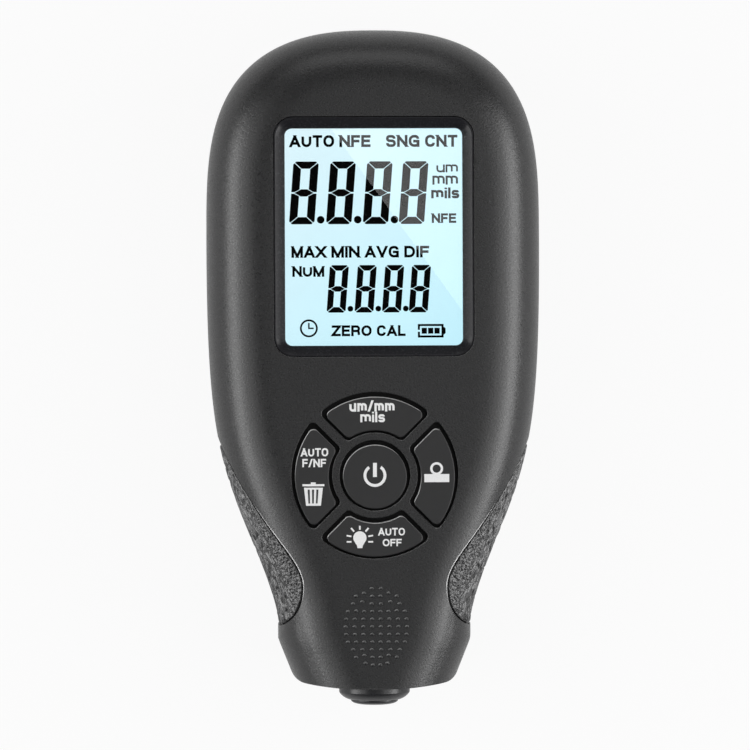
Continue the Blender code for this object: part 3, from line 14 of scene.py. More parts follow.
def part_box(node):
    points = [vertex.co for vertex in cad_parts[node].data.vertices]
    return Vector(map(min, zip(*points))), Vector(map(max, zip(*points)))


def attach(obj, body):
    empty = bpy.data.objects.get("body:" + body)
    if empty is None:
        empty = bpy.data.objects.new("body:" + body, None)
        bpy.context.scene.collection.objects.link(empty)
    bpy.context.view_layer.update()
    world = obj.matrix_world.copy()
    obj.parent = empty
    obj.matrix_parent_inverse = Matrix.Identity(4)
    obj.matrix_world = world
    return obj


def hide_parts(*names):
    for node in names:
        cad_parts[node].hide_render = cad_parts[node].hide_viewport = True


bl_info = {
    "name": "Coating Thickness Gauge",
    "version": (1, 0, 0),
    "blender": (4, 5, 0),
    "location": "3D View > Sidebar > Gauge",
    "description": "Builds the mouldings, grips, markings and studio of a coating thickness gauge",
    "category": "Add Mesh",
}

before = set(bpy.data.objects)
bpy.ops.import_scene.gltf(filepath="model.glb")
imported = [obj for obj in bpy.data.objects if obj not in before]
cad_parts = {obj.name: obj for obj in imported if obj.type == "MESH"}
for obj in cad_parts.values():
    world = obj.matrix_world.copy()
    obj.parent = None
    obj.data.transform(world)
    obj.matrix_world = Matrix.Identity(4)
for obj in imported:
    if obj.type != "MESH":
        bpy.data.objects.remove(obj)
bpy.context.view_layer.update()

MM = 0.001
WELD_DISTANCE = 0.0005 * MM

# Outline of the case, seen from the front
HEAD_HALF_WIDTH = 28.2 * MM
HEAD_CENTRE_Y = 21.1 * MM
HEAD_RISE = 36.2 * MM
HEAD_TOP_POWER = 2.5
HEAD_SIDE_POWER = 3.4
SHOULDER_LEAD = 30.0 * MM
SHOULDER_TAIL = 13.0 * MM
FLANK_X = 21.1 * MM
FLANK_Y = -28.0 * MM
FLANK_SLOPE = 0.41
HOLLOW_LEAD = 2.0 * MM
HOLLOW_TAIL = 4.0 * MM
NECK_HALF_WIDTH = 16.3 * MM
NECK_TOP_Y = -43.0 * MM
NECK_END_Y = -45.6 * MM
NECK_CREASE = 0.7 * MM
CREASE_SPREAD = 0.9
CREASE_CLIMB = 0.55
CREASE_DEPTH = 3.5 * MM
CHIN_TAPER = 0.4
CHIN_Y = -53.4 * MM
CHIN_ARC_RADIUS = 96.0 * MM
CHIN_CORNER_RADIUS = 3.0 * MM
CHIN_EDGE = 0.35 * MM
CHIN_CORNER_SPREAD = math.radians(8.0)
CHIN_START_Y = CHIN_Y + 5 * MM
OUTLINE_TAIL = 5.0 * MM
LEAST_HALF_WIDTH = 1.5 * MM
HEAD_STEPS = 40
SHOULDER_STEPS = 36
HOLLOW_STEPS = 24

# Section of the case
CASE_DEPTH = 27.0 * MM
PARTING_Z = 14.2 * MM
FRONT_RIM_Z = 14.35 * MM
REAR_RIM_Z = 14.05 * MM
FRONT_EDGE = 11.0 * MM
FRONT_EDGE_POWER = 2.4
REAR_EDGE = 6.5 * MM
REAR_EDGE_POWER = 2.6
HOLLOW_EDGE = 5.8 * MM
SIDE_WALL = 3.0 * MM
FACE_WALL = 2.2 * MM
END_WALL = 3.0 * MM
FIT = 0.3 * MM
SKIN_PROUD = 0.01 * MM
SKIN_THICKNESS = 0.5 * MM
SKIN_REACH = 5.0 * MM
COLLAR_HOLE_MARGIN = 3.0 * MM

# Each half's edge, front 1 and rear -1: how far it is drawn in, its power and its rise
EDGES = {1: (FRONT_EDGE, FRONT_EDGE_POWER, CASE_DEPTH - PARTING_Z),
         -1: (REAR_EDGE, REAR_EDGE_POWER, PARTING_Z)}

# Side grips
GRIP_THICKNESS = 1.0 * MM
GRIP_TOP = (26.9 * MM, -10.9 * MM)
GRIP_TOP_ANGLE = math.radians(24.0)
GRIP_TOP_LEAD = 18.0 * MM
GRIP_INNER = (12.25 * MM, -36.3 * MM)
GRIP_INNER_LEAD = 5.0 * MM
GRIP_INNER_TAIL = 4.0 * MM
GRIP_END = (15.9 * MM, -42.9 * MM)
GRIP_END_ANGLE = math.radians(30.0)
GRIP_END_LEAD = 2.0 * MM
GRIP_PITCH = 0.12 * MM
GRIP_SEARCH_STEP = 0.05 * MM
GRIP_ROLL = 0.45 * MM
GRIP_BACK_GAP = 0.05 * MM
GRIP_BASE_STRIDE = 6
BEAD_RADIUS = 0.075 * MM
BEAD_LIFT = 0.6
BEAD_EDGE_STEPS = 60
BEAD_FIRST, BEAD_LAST = 18, 69

# Leather grain: the seed of its noise, its direction on the grip, its cells and how far they
# are bent, how it differs between the sides, how it fades at the border, and how it turns
# finer towards the face
GRAIN_SEED = 1
GRAIN_ALONG, GRAIN_ACROSS = 0.38, 0.92
GRAIN_NARROW, GRAIN_LONG, GRAIN_FINE = 1.3, 0.42, 0.55
GRAIN_LONG_BEND, GRAIN_FINE_BEND = 0.35, 0.6
GRAIN_LONG_SHIFT, GRAIN_FINE_SHIFT = 17.0, 31.0
GRAIN_BORDER, GRAIN_BORDER_SHARE = 0.8 * MM, 0.25
GRAIN_TURN_Z, GRAIN_TURN_SPAN, GRAIN_TURN_MOST = 21.5 * MM, 4.0 * MM, 0.8

# Probe
COLLAR_RADIUS = 6.0 * MM
COLLAR_BORE = 4.2 * MM
COLLAR_NOSE_RADIUS = 4.3 * MM
COLLAR_NOSE_LENGTH = 1.3 * MM
COLLAR_NOSE_SHAPE = 1.4
PROBE_RADIUS = 4.0 * MM
PROBE_EDGE = 2.0 * MM
PROBE_EDGE_LENGTH = 0.7 * MM
POLE_BORE = 1.3 * MM
COLLAR_LIP = 3.5 * MM
COLLAR_FLANGE = 1.5 * MM
COLLAR_NOSE_START = 0.1 * MM
SPRING_BORE = 5.4 * MM
BARREL_FLANGE_RADIUS = 5.1 * MM
BARREL_FLANGE = 1.4 * MM
BARREL_END = 1.4 * MM
BARREL_TAIL_RADIUS = 3.4 * MM
BARREL_BORE = 2.7 * MM
NOSE_STEPS = 16

# Display
DISPLAY_Y = 21.95 * MM
VIEW_WIDTH = 29.6 * MM
VIEW_HEIGHT = 36.2 * MM
VIEW_CORNER = 1.2 * MM
BEZEL_BORDER = 1.9 * MM
BEZEL_CORNER = 3.3 * MM
BEZEL_SLOPE_DEPTH = 1.5 * MM
BEZEL_GAP = 0.1 * MM
BEZEL_LAND = 0.5 * MM
BEZEL_FLANGE = 1.0 * MM
BEZEL_SHOULDER = 1.2 * MM
BEZEL_EDGE = 0.06 * MM
BEZEL_TOP_LAND = 0.15 * MM
BEZEL_TURN = 0.12 * MM
WINDOW_SEAT = 0.9 * MM
DISPLAY_RIM = 0.05 * MM
MARK_THICKNESS = 0.03 * MM

# The bezel's slope: the share of the way out and the share of the depth at each ring
BEZEL_SLOPE = ((1.0, 0.0), (0.96, 0.012), (0.9, 0.05), (0.5, 0.45), (0.1, 0.85), (0.04, 0.93),
               (0.0, 1.0))

# Crossing strokes of print lie at slightly different heights
FILM_STEP = 0.002 * MM
FILM_LEVELS = 4

# Keys
KEYS_Y = -17.75 * MM
CENTRE_HOLE_RADIUS = 5.87 * MM
RING_INNER_RADIUS = 7.13 * MM
RING_OUTER_RADIUS = 13.84 * MM
WEB_WIDTH = 1.56 * MM
KEY_GAP = 0.55 * MM
KEY_DROP = 0.2 * MM
KEY_FLANGE = 0.5 * MM
HOLE_OUTER_CORNER = 0.9 * MM
HOLE_INNER_CORNER = 0.9 * MM
KEY_SHOULDER = 1.2 * MM
KEY_EDGE_STEPS = 6
RIM_STEPS = 6
RIM_TURN = math.radians(80.0)

# Thumb pad. Each row: how many pips, and by how many mm two of them are raised: the second
# from each end, or the end ones if the number is negative
PAD_X = 0.15 * MM
PAD_Y = -42.9 * MM
PAD_HALF_WIDTH = 5.1 * MM
PAD_HALF_HEIGHT = 6.8 * MM
PAD_ROW_PITCH = 1.27 * MM
PAD_LARGEST_PITCH = 1.55 * MM
PIP_HALF_WIDTH = 0.36 * MM
PIP_HALF_HEIGHT = 0.27 * MM
PIP_ROOT = 0.12 * MM
PAD_ROWS = ((2, 0.0), (6, 0.49), (6, 0.34), (8, 0.1), (8, 0.0), (8, 0.0),
            (8, 0.0), (8, 0.0), (6, 0.0), (6, 0.32), (4, -0.3))

# Painted highlight and shade on the face: the way its lit edges look, their heights and the
# painted shade colour in the wells
HIGHLIGHT_FACING = (-0.4, 0.92, 0.0)
HIGHLIGHT_HEIGHTS = (26.84 * MM, 26.95 * MM)
WELL_SHADE_COLOUR = (0.001, 0.001, 0.001, 1.0)

# Display's light: its strength, and where its colour turns from one corner to the other
DISPLAY_GLOW = 1.05
DISPLAY_TURN = (-52 * MM, 12 * MM)
DISPLAY_TURN_LEAN = 0.9

# Studio
SUBJECT = (0.0, 0.0, 0.02)
CAMERA_PLACE = (-0.01027, -0.00102, 0.62)
CAMERA_TURN = (0.0, -math.radians(1.0), -math.radians(0.23))
CAMERA_ANGLE = 2 * math.atan(63.75 / 606.8)
FLOOR_REACH = 1.6
FLOOR_DROP = 0.0002
FLOOR_GLOW = (("Is Camera Ray", 0.92), ("Is Transmission Ray", 0.92), ("Is Glossy Ray", 0.3))
SKY_LEVELS = ((0.0, 0.25), (0.3, 0.2), (0.85, 0.12), (0.97, 0.02))


# Sizes and colours that a user would change

class GaugeSizes(bpy.types.PropertyGroup):
    """Sizes of the finished surfaces."""
    opening_rim: FloatProperty(
        name="Opening rim", description="Radius of the rounded rim round each keyhole",
        default=0.14 * MM, min=0.05 * MM, max=0.6 * MM, unit='LENGTH')
    key_edge: FloatProperty(
        name="Key edge", description="Radius of the rounded edge on top of each key",
        default=0.2 * MM, min=0.05 * MM, max=0.6 * MM, unit='LENGTH')
    grain_size: FloatProperty(
        name="Grip grain size", description="Width of one cell of the grips' leather grain",
        default=0.85 * MM, min=0.3 * MM, max=3.0 * MM, unit='LENGTH')
    grain_depth: FloatProperty(
        name="Grip grain depth", description="Depth of the creases between the cells",
        default=0.36 * MM, min=0.0, max=0.5 * MM, unit='LENGTH')
    pip_height: FloatProperty(
        name="Pip height", description="How far each pip of the thumb pad stands up",
        default=0.25 * MM, min=0.05 * MM, max=0.5 * MM, unit='LENGTH')
    ink_thickness: FloatProperty(
        name="Print thickness", description="Thickness of the printed legends",
        default=0.02 * MM, min=0.005 * MM, max=0.1 * MM, unit='LENGTH')


def colour(label, value, about):
    """A colour property with a plain description."""
    return FloatVectorProperty(name=label, description=about, subtype='COLOR', size=3,
                               min=0.0, max=1.0, default=value)


class GaugeColours(bpy.types.PropertyGroup):
    """Colours of the gauge's finishes."""
    housing: colour("Housing", (0.0145, 0.0145, 0.015), "Textured plastic of the case")
    grip: colour("Grip", (0.016, 0.016, 0.0165), "Leather-grained rubber of the grips")
    key: colour("Keys", (0.021, 0.021, 0.0215), "Satin plastic of the keys")
    bezel: colour("Bezel", (0.012, 0.012, 0.014), "Gloss plastic round the display")
    legend: colour("Legends", (0.74, 0.74, 0.74), "Print on the keys")
    segment: colour("Segments", (0.001, 0.001, 0.001), "Dark segments of the display")
    display_high: colour("Display, upper left", (0.73, 0.915, 0.98), "Backlit display, upper left")
    display_low: colour("Display, lower right", (0.55, 0.885, 1.0), "Backlit display, lower right")
    floor: colour("Floor", (0.6, 0.6, 0.6), "Studio floor")


def sizes():
    """The scene's gauge sizes."""
    return bpy.context.scene.gauge_sizes


def colours():
    """The scene's gauge colours."""
    return bpy.context.scene.gauge_colours


# Materials

def tint(rgb, factor=1.0):
    """A colour made lighter or darker, with full alpha."""
    return (rgb[0] * factor, rgb[1] * factor, rgb[2] * factor, 1.0)


def add_node(tree, kind, attributes=(), **inputs):
    """Add a node, set its attributes and its plain input values."""
    node = tree.nodes.new(kind)
    for name, value in attributes:
        setattr(node, name, value)
    for name, value in inputs.items():
        node.inputs[name.replace("_", " ").title()].default_value = value
    return node


def calculate(tree, operation, *values):
    """Add a calculation with numbers and with the values of other nodes."""
    node = add_node(tree, "ShaderNodeMath", (("operation", operation),))
    for entry, value in zip(node.inputs, values):
        if isinstance(value, float):
            entry.default_value = value
        else:
            tree.links.new(value, entry)
    return node.outputs[0]


def mix_colours(tree, factor):
    """Add a mix of two colours, and give its two inputs and its result."""
    node = add_node(tree, "ShaderNodeMix", (("data_type", 'RGBA'),))
    tree.links.new(factor, [entry for entry in node.inputs if entry.name == "Factor"][0])
    first, second = [entry for entry in node.inputs if entry.type == 'RGBA']
    return first, second, [entry for entry in node.outputs if entry.type == 'RGBA'][0]


def colour_ramp(tree, value, stops):
    """Add a ramp through some colours, each at its position."""
    ramp = tree.nodes.new("ShaderNodeValToRGB")
    elements = ramp.color_ramp.elements
    while len(elements) < len(stops):
        elements.new(0.5)
    for element, (position, shown) in zip(elements, stops):
        element.position = position
        element.color = shown
    tree.links.new(value, ramp.inputs["Fac"])
    return ramp.outputs["Color"]


def split_rays(tree, share, usual, other):
    """Show the usual shader, but another one to a share of the rays."""
    both = tree.nodes.new("ShaderNodeMixShader")
    for value, entry in zip((share, usual, other), both.inputs):
        tree.links.new(value, entry)
    tree.links.new(both.outputs["Shader"], tree.nodes["Material Output"].inputs["Surface"])


def new_material(name, rgb, roughness, metallic=0.0, specular=0.5):
    """A Principled material and its object coordinates."""
    material = bpy.data.materials.new(name)
    material.use_nodes = True
    tree = material.node_tree
    shader = tree.nodes["Principled BSDF"]
    for entry, value in (("Base Color", tint(rgb)), ("Roughness", roughness),
                         ("Metallic", metallic), ("Specular IOR Level", specular)):
        shader.inputs[entry].default_value = value
    place = tree.nodes.new("ShaderNodeTexCoord").outputs["Object"]
    return material, tree, shader, place


def speckle(tree, place, size, detail=2.0, rough=0.5):
    """Noise whose features are about a size across, in metres."""
    field = add_node(tree, "ShaderNodeTexNoise", scale=1.0 / size, detail=detail,
                     roughness=rough)
    tree.links.new(place, field.inputs["Vector"])
    return field.outputs["Fac"]


def vary(tree, value, low, high):
    """Map noise, most of which lies between 0.3 and 0.7, onto a range."""
    spread = add_node(tree, "ShaderNodeMapRange", from_min=0.3, from_max=0.7,
                      to_min=low, to_max=high)
    tree.links.new(value, spread.inputs["Value"])
    return spread.outputs["Result"]


def shade(tree, value, shader, rgb, low, high):
    """Let the base colour wander between a darker and a lighter shade."""
    dark, light, result = mix_colours(tree, vary(tree, value, 0.0, 1.0))
    dark.default_value = tint(rgb, low)
    light.default_value = tint(rgb, high)
    tree.links.new(result, shader.inputs["Base Color"])


def relief(tree, height, shader, depth):
    """Raise a height field as a bump."""
    bump = add_node(tree, "ShaderNodeBump", strength=1.0, distance=depth)
    tree.links.new(height, bump.inputs["Height"])
    tree.links.new(bump.outputs["Normal"], shader.inputs["Normal"])


def moulded_plastic(name, rgb, roughness, grain=0.25 * MM, depth=0.01 * MM, mottle=0.1,
                    specular=0.5):
    """Moulded plastic with a spark-eroded grain and a slight mottle."""
    material, tree, shader, place = new_material(name, rgb, roughness, specular=specular)
    fine = speckle(tree, place, grain, 3.0, 0.6)
    shade(tree, fine, shader, rgb, 1.0 - mottle, 1.0 + mottle)
    polish = vary(tree, fine, roughness - 0.05, roughness + 0.07)
    tree.links.new(polish, shader.inputs["Roughness"])
    relief(tree, fine, shader, depth)
    return material


def compare(tree, value, low, high):
    """0 below a low value, 1 above a high one and a smooth step between them."""
    step = add_node(tree, "ShaderNodeMapRange", (("interpolation_type", 'SMOOTHSTEP'),),
                    from_min=low, from_max=high)
    tree.links.new(value, step.inputs["Value"])
    return step.outputs["Result"]


def paint_face_highlight_and_shade(material, highlight_rgb, amount, well=None):
    """Paint a highlight on the raised edges of the face that look up and to the left, and paint
    shade on the walls of its wells.
    """
    tree = material.node_tree
    base = tree.nodes["Principled BSDF"].inputs["Base Color"]
    source = base.links[0].from_socket
    place = tree.nodes.new("ShaderNodeTexCoord")
    split = tree.nodes.new("ShaderNodeSeparateXYZ")
    tree.links.new(place.outputs["Object"], split.inputs["Vector"])
    facing = add_node(tree, "ShaderNodeVectorMath", (("operation", 'DOT_PRODUCT'),))
    facing.inputs[1].default_value = HIGHLIGHT_FACING
    tree.links.new(place.outputs["Normal"], facing.inputs[0])
    # Painted highlight mask: surfaces turned up and to the left, just under the top of the face
    edge = calculate(tree, 'MULTIPLY', compare(tree, facing.outputs["Value"], 0.2, 0.55),
                     compare(tree, split.outputs["Z"], *HIGHLIGHT_HEIGHTS))
    # Painted shade: the walls turn near-black below the wells' given heights
    if well:
        dark, plain, result = mix_colours(tree, compare(tree, split.outputs["Z"], *well))
        dark.default_value = WELL_SHADE_COLOUR
        tree.links.new(source, plain)
        source = result
    # Lay the painted highlight colour over its mask
    plain, light, result = mix_colours(tree, calculate(tree, 'MULTIPLY', edge, amount))
    light.default_value = tint(highlight_rgb)
    tree.links.new(source, plain)
    tree.links.new(result, base)


def plated_metal(name, rgb, roughness, stretch=(1.0, 1.0, 1.0)):
    """Metal with fine wandering brush marks."""
    material, tree, shader, place = new_material(name, rgb, roughness, 1.0)
    mapping = add_node(tree, "ShaderNodeMapping")
    mapping.inputs["Scale"].default_value = stretch
    tree.links.new(place, mapping.inputs["Vector"])
    marks = speckle(tree, mapping.outputs["Vector"], 0.3 * MM, 4.0, 0.6)
    shade(tree, marks, shader, rgb, 0.88, 1.08)
    polish = vary(tree, marks, roughness - 0.06, roughness + 0.1)
    tree.links.new(polish, shader.inputs["Roughness"])
    relief(tree, marks, shader, 0.004 * MM)
    return material


def leather_rubber(name, rgb):
    """Rubber moulded with a leather grain and fine pores: painted shade darkens its creases and a
    painted highlight lightens its crowns.
    """
    material, tree, shader, place = new_material(name, rgb, 0.25, specular=0.8)
    crest = add_node(tree, "ShaderNodeAttribute", (("attribute_name", "crest"),)).outputs["Fac"]
    # Painted shade in the creases and painted highlight on the crowns, by the grain's height
    crease_shade_crown_highlight = colour_ramp(tree, crest, ((0.15, tint(rgb, 0.05)), (0.85, tint(rgb, 2.8))))
    tree.links.new(crease_shade_crown_highlight, shader.inputs["Base Color"])
    pores = speckle(tree, place, 0.12 * MM, 3.0, 0.65)
    tree.links.new(vary(tree, pores, 0.2, 0.34), shader.inputs["Roughness"])
    relief(tree, pores, shader, 0.01 * MM)
    return material


def printed_ink(name, rgb, roughness=0.5, specular=0.5):
    """Pad-printed ink with a slightly uneven film."""
    material, tree, shader, place = new_material(name, rgb, roughness, specular=specular)
    film = speckle(tree, place, 0.2 * MM, 2.0, 0.6)
    shade(tree, film, shader, rgb, 0.94, 1.04)
    relief(tree, film, shader, 0.002 * MM)
    return material


def backlit_display(name):
    """The display glass, lit from behind, cooler towards the lower right."""
    pick = colours()
    material, tree, shader, place = new_material(name, (0.02, 0.03, 0.03), 0.25, specular=0.2)
    split = tree.nodes.new("ShaderNodeSeparateXYZ")
    tree.links.new(place, split.inputs["Vector"])
    across = calculate(tree, 'MULTIPLY', split.outputs["X"], DISPLAY_TURN_LEAN)
    lean = calculate(tree, 'SUBTRACT', across, split.outputs["Y"])
    start, end = DISPLAY_TURN
    sweep = add_node(tree, "ShaderNodeMapRange", from_min=start, from_max=end)
    tree.links.new(lean, sweep.inputs["Value"])
    glow = colour_ramp(tree, sweep.outputs["Result"],
                       ((0.0, tint(pick.display_high)), (1.0, tint(pick.display_low))))
    tree.links.new(glow, shader.inputs["Emission Color"])
    shader.inputs["Emission Strength"].default_value = DISPLAY_GLOW
    return material


def clear_window(name):
    """A clear hard-coated pane that lets light through to the display."""
    material, tree, shader, place = new_material(name, (0.97, 0.99, 0.99), 0.0)
    shader.inputs["Transmission Weight"].default_value = 1.0
    shader.inputs["IOR"].default_value = 1.45
    shade(tree, speckle(tree, place, 6 * MM), shader, (0.97, 0.985, 0.985), 0.99, 1.01)
    shadow = tree.nodes.new("ShaderNodeLightPath").outputs["Is Shadow Ray"]
    through = tree.nodes.new("ShaderNodeBsdfTransparent").outputs["BSDF"]
    split_rays(tree, shadow, shader.outputs["BSDF"], through)
    return material


# Outlines

def arc(centre, radius, start, end, steps):
    """Points on an arc, both ends included."""
    angles = [start + (end - start) * i / steps for i in range(steps + 1)]
    return [(centre[0] + radius * math.cos(a), centre[1] + radius * math.sin(a))
            for a in angles]


def circle(centre, radius, steps=96):
    """A closed circle of points."""
    return arc(centre, radius, 0.0, 2 * math.pi * (1 - 1 / steps), steps - 1)


def rounded_box(centre, width, height, radius, steps=12):
    """A rectangle with round corners."""
    points = []
    for quarter, (sx, sy) in enumerate(((1, 1), (-1, 1), (-1, -1), (1, -1))):
        corner = (centre[0] + sx * (width / 2 - radius), centre[1] + sy * (height / 2 - radius))
        start = quarter * math.pi / 2
        points += arc(corner, radius, start, start + math.pi / 2, steps)
    return points


def cubic(p0, p1, p2, p3, steps):
    """Points and tangents along a cubic curve, both ends included."""
    p0, p1, p2, p3 = (Vector(p) for p in (p0, p1, p2, p3))
    samples = []
    for i in range(steps + 1):
        t = i / steps
        point = ((1 - t) ** 3 * p0 + 3 * (1 - t) ** 2 * t * p1 + 3 * (1 - t) * t * t * p2
                 + t ** 3 * p3)
        tangent = (1 - t) ** 2 * (p1 - p0) + 2 * (1 - t) * t * (p2 - p1) + t * t * (p3 - p2)
        samples.append((point, tangent))
    return samples


def neck_samples():
    """The right-hand side from the head's widest line down to the neck, with tangents."""
    flank = (FLANK_X, FLANK_Y)
    shoulder = cubic((HEAD_HALF_WIDTH, HEAD_CENTRE_Y),
                     (HEAD_HALF_WIDTH, HEAD_CENTRE_Y - SHOULDER_LEAD),
                     (FLANK_X + FLANK_SLOPE * SHOULDER_TAIL, FLANK_Y + SHOULDER_TAIL), flank,
                     SHOULDER_STEPS)
    hollow = cubic(flank, (FLANK_X - FLANK_SLOPE * HOLLOW_LEAD, FLANK_Y - HOLLOW_LEAD),
                   (NECK_HALF_WIDTH, NECK_TOP_Y + HOLLOW_TAIL), (NECK_HALF_WIDTH, NECK_TOP_Y),
                   HOLLOW_STEPS)
    return shoulder + hollow[1:]


NECK = neck_samples()
NECK_Y = np.array([point.y for point, tangent in NECK])
NECK_X = np.array([point.x for point, tangent in NECK])
NECK_LEAN = np.array([tangent.length / abs(tangent.y) for point, tangent in NECK])
SIDE_Y = np.concatenate((NECK_Y, np.linspace(NECK_TOP_Y, CHIN_START_Y, 26)[1:],
                         np.linspace(CHIN_START_Y, CHIN_Y, 6)[1:], [CHIN_Y - OUTLINE_TAIL]))


def side_widths(inset, heights):
    """Half-widths of the case at some heights, drawn in by an inset.

    The crease above the chin climbs and softens as the outline is drawn in.
    """
    depth = min(inset, CREASE_DEPTH)
    corner = NECK_END_Y + depth * CREASE_CLIMB
    soft = CHIN_TAPER * (NECK_CREASE + depth * CREASE_SPREAD)
    neck = np.interp(-heights, -NECK_Y, NECK_X)
    lean = np.interp(-heights, -NECK_Y, NECK_LEAN)
    chin = NECK_HALF_WIDTH - CHIN_TAPER * (corner - np.maximum(heights, CHIN_Y))
    share = np.clip(0.5 + 0.5 * (chin - neck) / soft, 0.0, 1.0)
    width = chin + (neck - chin) * share - soft * share * (1 - share)
    lean = math.hypot(1.0, CHIN_TAPER) * (1 - share) + lean * share
    return np.maximum(width - inset * lean, LEAST_HALF_WIDTH)


def case_outline(inset):
    """The case's outline drawn in by an inset. Side points keep their height."""
    wide = HEAD_HALF_WIDTH - inset
    tall = HEAD_RISE - inset
    right = []
    for i in range(HEAD_STEPS):
        angle = math.pi / 2 * i / HEAD_STEPS
        right.append((wide * math.sin(angle) ** (2 / HEAD_TOP_POWER),
                      HEAD_CENTRE_Y + tall * math.cos(angle) ** (2 / HEAD_SIDE_POWER)))
    right += [(float(x), float(y)) for x, y in zip(side_widths(inset, SIDE_Y), SIDE_Y)]
    left = [(-x, y) for x, y in reversed(right[1:])]
    return left + [(0.0, right[0][1])] + right[1:]


def key_sector(direction, grow):
    """A ring key's hole in the face, grown or shrunk evenly."""
    inner, outer = RING_INNER_RADIUS - grow, RING_OUTER_RADIUS + grow
    web = WEB_WIDTH / 2 - grow
    inner_corner, outer_corner = HOLE_INNER_CORNER, HOLE_OUTER_CORNER
    reach = math.sqrt((outer - outer_corner) ** 2 - (web + outer_corner) ** 2)
    start = math.sqrt((inner + inner_corner) ** 2 - (web + inner_corner) ** 2)
    outer_lift = math.atan2(web + outer_corner, reach)
    inner_lift = math.atan2(web + inner_corner, start)
    side = math.pi / 4
    half = arc((0, 0), outer, 0.0, side - outer_lift, 16)
    turn = Matrix.Rotation(side, 2)
    corner = turn @ Vector((reach, -(web + outer_corner)))
    half += arc(corner, outer_corner, side - outer_lift, side + math.pi / 2, 10)[1:]
    corner = turn @ Vector((start, -(web + inner_corner)))
    half += arc(corner, inner_corner, side + math.pi / 2, side + math.pi - inner_lift, 8)
    half += arc((0, 0), inner, side - inner_lift, 0.0, 12)[1:]
    whole = half + [(x, -y) for x, y in reversed(half[1:-1])]
    spin = Matrix.Rotation(direction, 2)
    return [tuple(spin @ Vector(p) + Vector((0.0, KEYS_Y))) for p in whole]


def keyhole(direction, grow):
    """A key's hole in the face, grown or shrunk evenly. The centre key has no direction."""
    if direction is None:
        return circle((0.0, KEYS_Y), CENTRE_HOLE_RADIUS + grow)
    return key_sector(direction, grow)


KEYS = (("key_power", "power_key", None), ("key_units", "units_key", math.pi / 2),
        ("key_mode", "mode_key", math.pi), ("key_light", "light_key", -math.pi / 2),
        ("key_zero", "zero_key", 0.0))


# Solids

def closed_mesh(name, work):
    """A mesh with its faces turned outwards, from the faces made so far."""
    bmesh.ops.recalc_face_normals(work, faces=work.faces)
    mesh = bpy.data.meshes.new(name)
    work.to_mesh(mesh)
    work.free()
    return mesh


def mirrored(mesh):
    """A right-hand mesh turned into the left-hand one."""
    mesh.transform(Matrix.Scale(-1.0, 4, (1.0, 0.0, 0.0)))
    mesh.flip_normals()
    return mesh


def loft_mesh(name, rings, looped=False):
    """A solid through a stack of outlines with as many points each, or a frame if looped."""
    work = bmesh.new()
    rows = [[work.verts.new((x, y, z)) for x, y in ring] for z, ring in rings]
    for low, high in zip(rows, rows[1:] + rows[:looped]):
        for i in range(len(low)):
            j = (i + 1) % len(low)
            work.faces.new((low[i], low[j], high[j], high[i]))
    if not looped:
        work.faces.new(rows[0])
        work.faces.new(rows[-1])
    return closed_mesh(name, work)


def turned_mesh(name, profile, centre, steps=96):
    """A turned solid about a line along Y from a closed (radius, y) profile."""
    work = bmesh.new()
    rows = []
    for radius, y in profile:
        if radius < 1e-7:
            rows.append([work.verts.new((centre[0], y, centre[1]))])
            continue
        rows.append([work.verts.new((centre[0] + radius * math.cos(2 * math.pi * i / steps), y,
                                     centre[1] + radius * math.sin(2 * math.pi * i / steps)))
                     for i in range(steps)])
    for a, b in zip(rows, rows[1:] + rows[:1]):
        if len(a) == 1 and len(b) == 1:
            continue
        for i in range(steps):
            j = (i + 1) % steps
            if len(a) == 1:
                work.faces.new((a[0], b[j], b[i]))
            elif len(b) == 1:
                work.faces.new((a[i], a[j], b[0]))
            else:
                work.faces.new((a[i], a[j], b[j], b[i]))
    return closed_mesh(name, work)


def flat_mesh(name, outlines, low, high, bevel=0.0, resolution=3):
    """A flat piece from one outline, with any further outlines as its holes."""
    curve = bpy.data.curves.new(name, 'CURVE')
    curve.dimensions = '2D'
    curve.fill_mode = 'BOTH'
    curve.extrude = (high - low) / 2 - bevel
    curve.bevel_depth = bevel
    curve.bevel_resolution = resolution
    curve.offset = -bevel
    for points in outlines:
        spline = curve.splines.new('POLY')
        spline.points.add(len(points) - 1)
        for spot, (x, y) in zip(spline.points, points):
            spot.co = (x, y, 0.0, 1.0)
        spline.use_cyclic_u = True
    return mesh_from_curve(curve, Matrix.Translation((0.0, 0.0, (low + high) / 2)))


def mesh_from_curve(curve, move):
    """Turn a curve into a closed mesh and remove the curve."""
    holder = bpy.data.objects.new(curve.name, curve)
    bpy.context.scene.collection.objects.link(holder)
    bpy.context.view_layer.update()
    ready = holder.evaluated_get(bpy.context.evaluated_depsgraph_get())
    mesh = bpy.data.meshes.new_from_object(ready)
    bpy.data.objects.remove(holder)
    bpy.data.curves.remove(curve)
    mesh.transform(move)
    work = bmesh.new()
    work.from_mesh(mesh)
    bmesh.ops.remove_doubles(work, verts=work.verts, dist=WELD_DISTANCE)
    bmesh.ops.recalc_face_normals(work, faces=work.faces)
    work.to_mesh(mesh)
    work.free()
    return mesh


def joined(name, meshes):
    """Several meshes as one."""
    work = bmesh.new()
    for mesh in meshes:
        work.from_mesh(mesh)
        bpy.data.meshes.remove(mesh)
    whole = bpy.data.meshes.new(name)
    work.to_mesh(whole)
    work.free()
    return whole


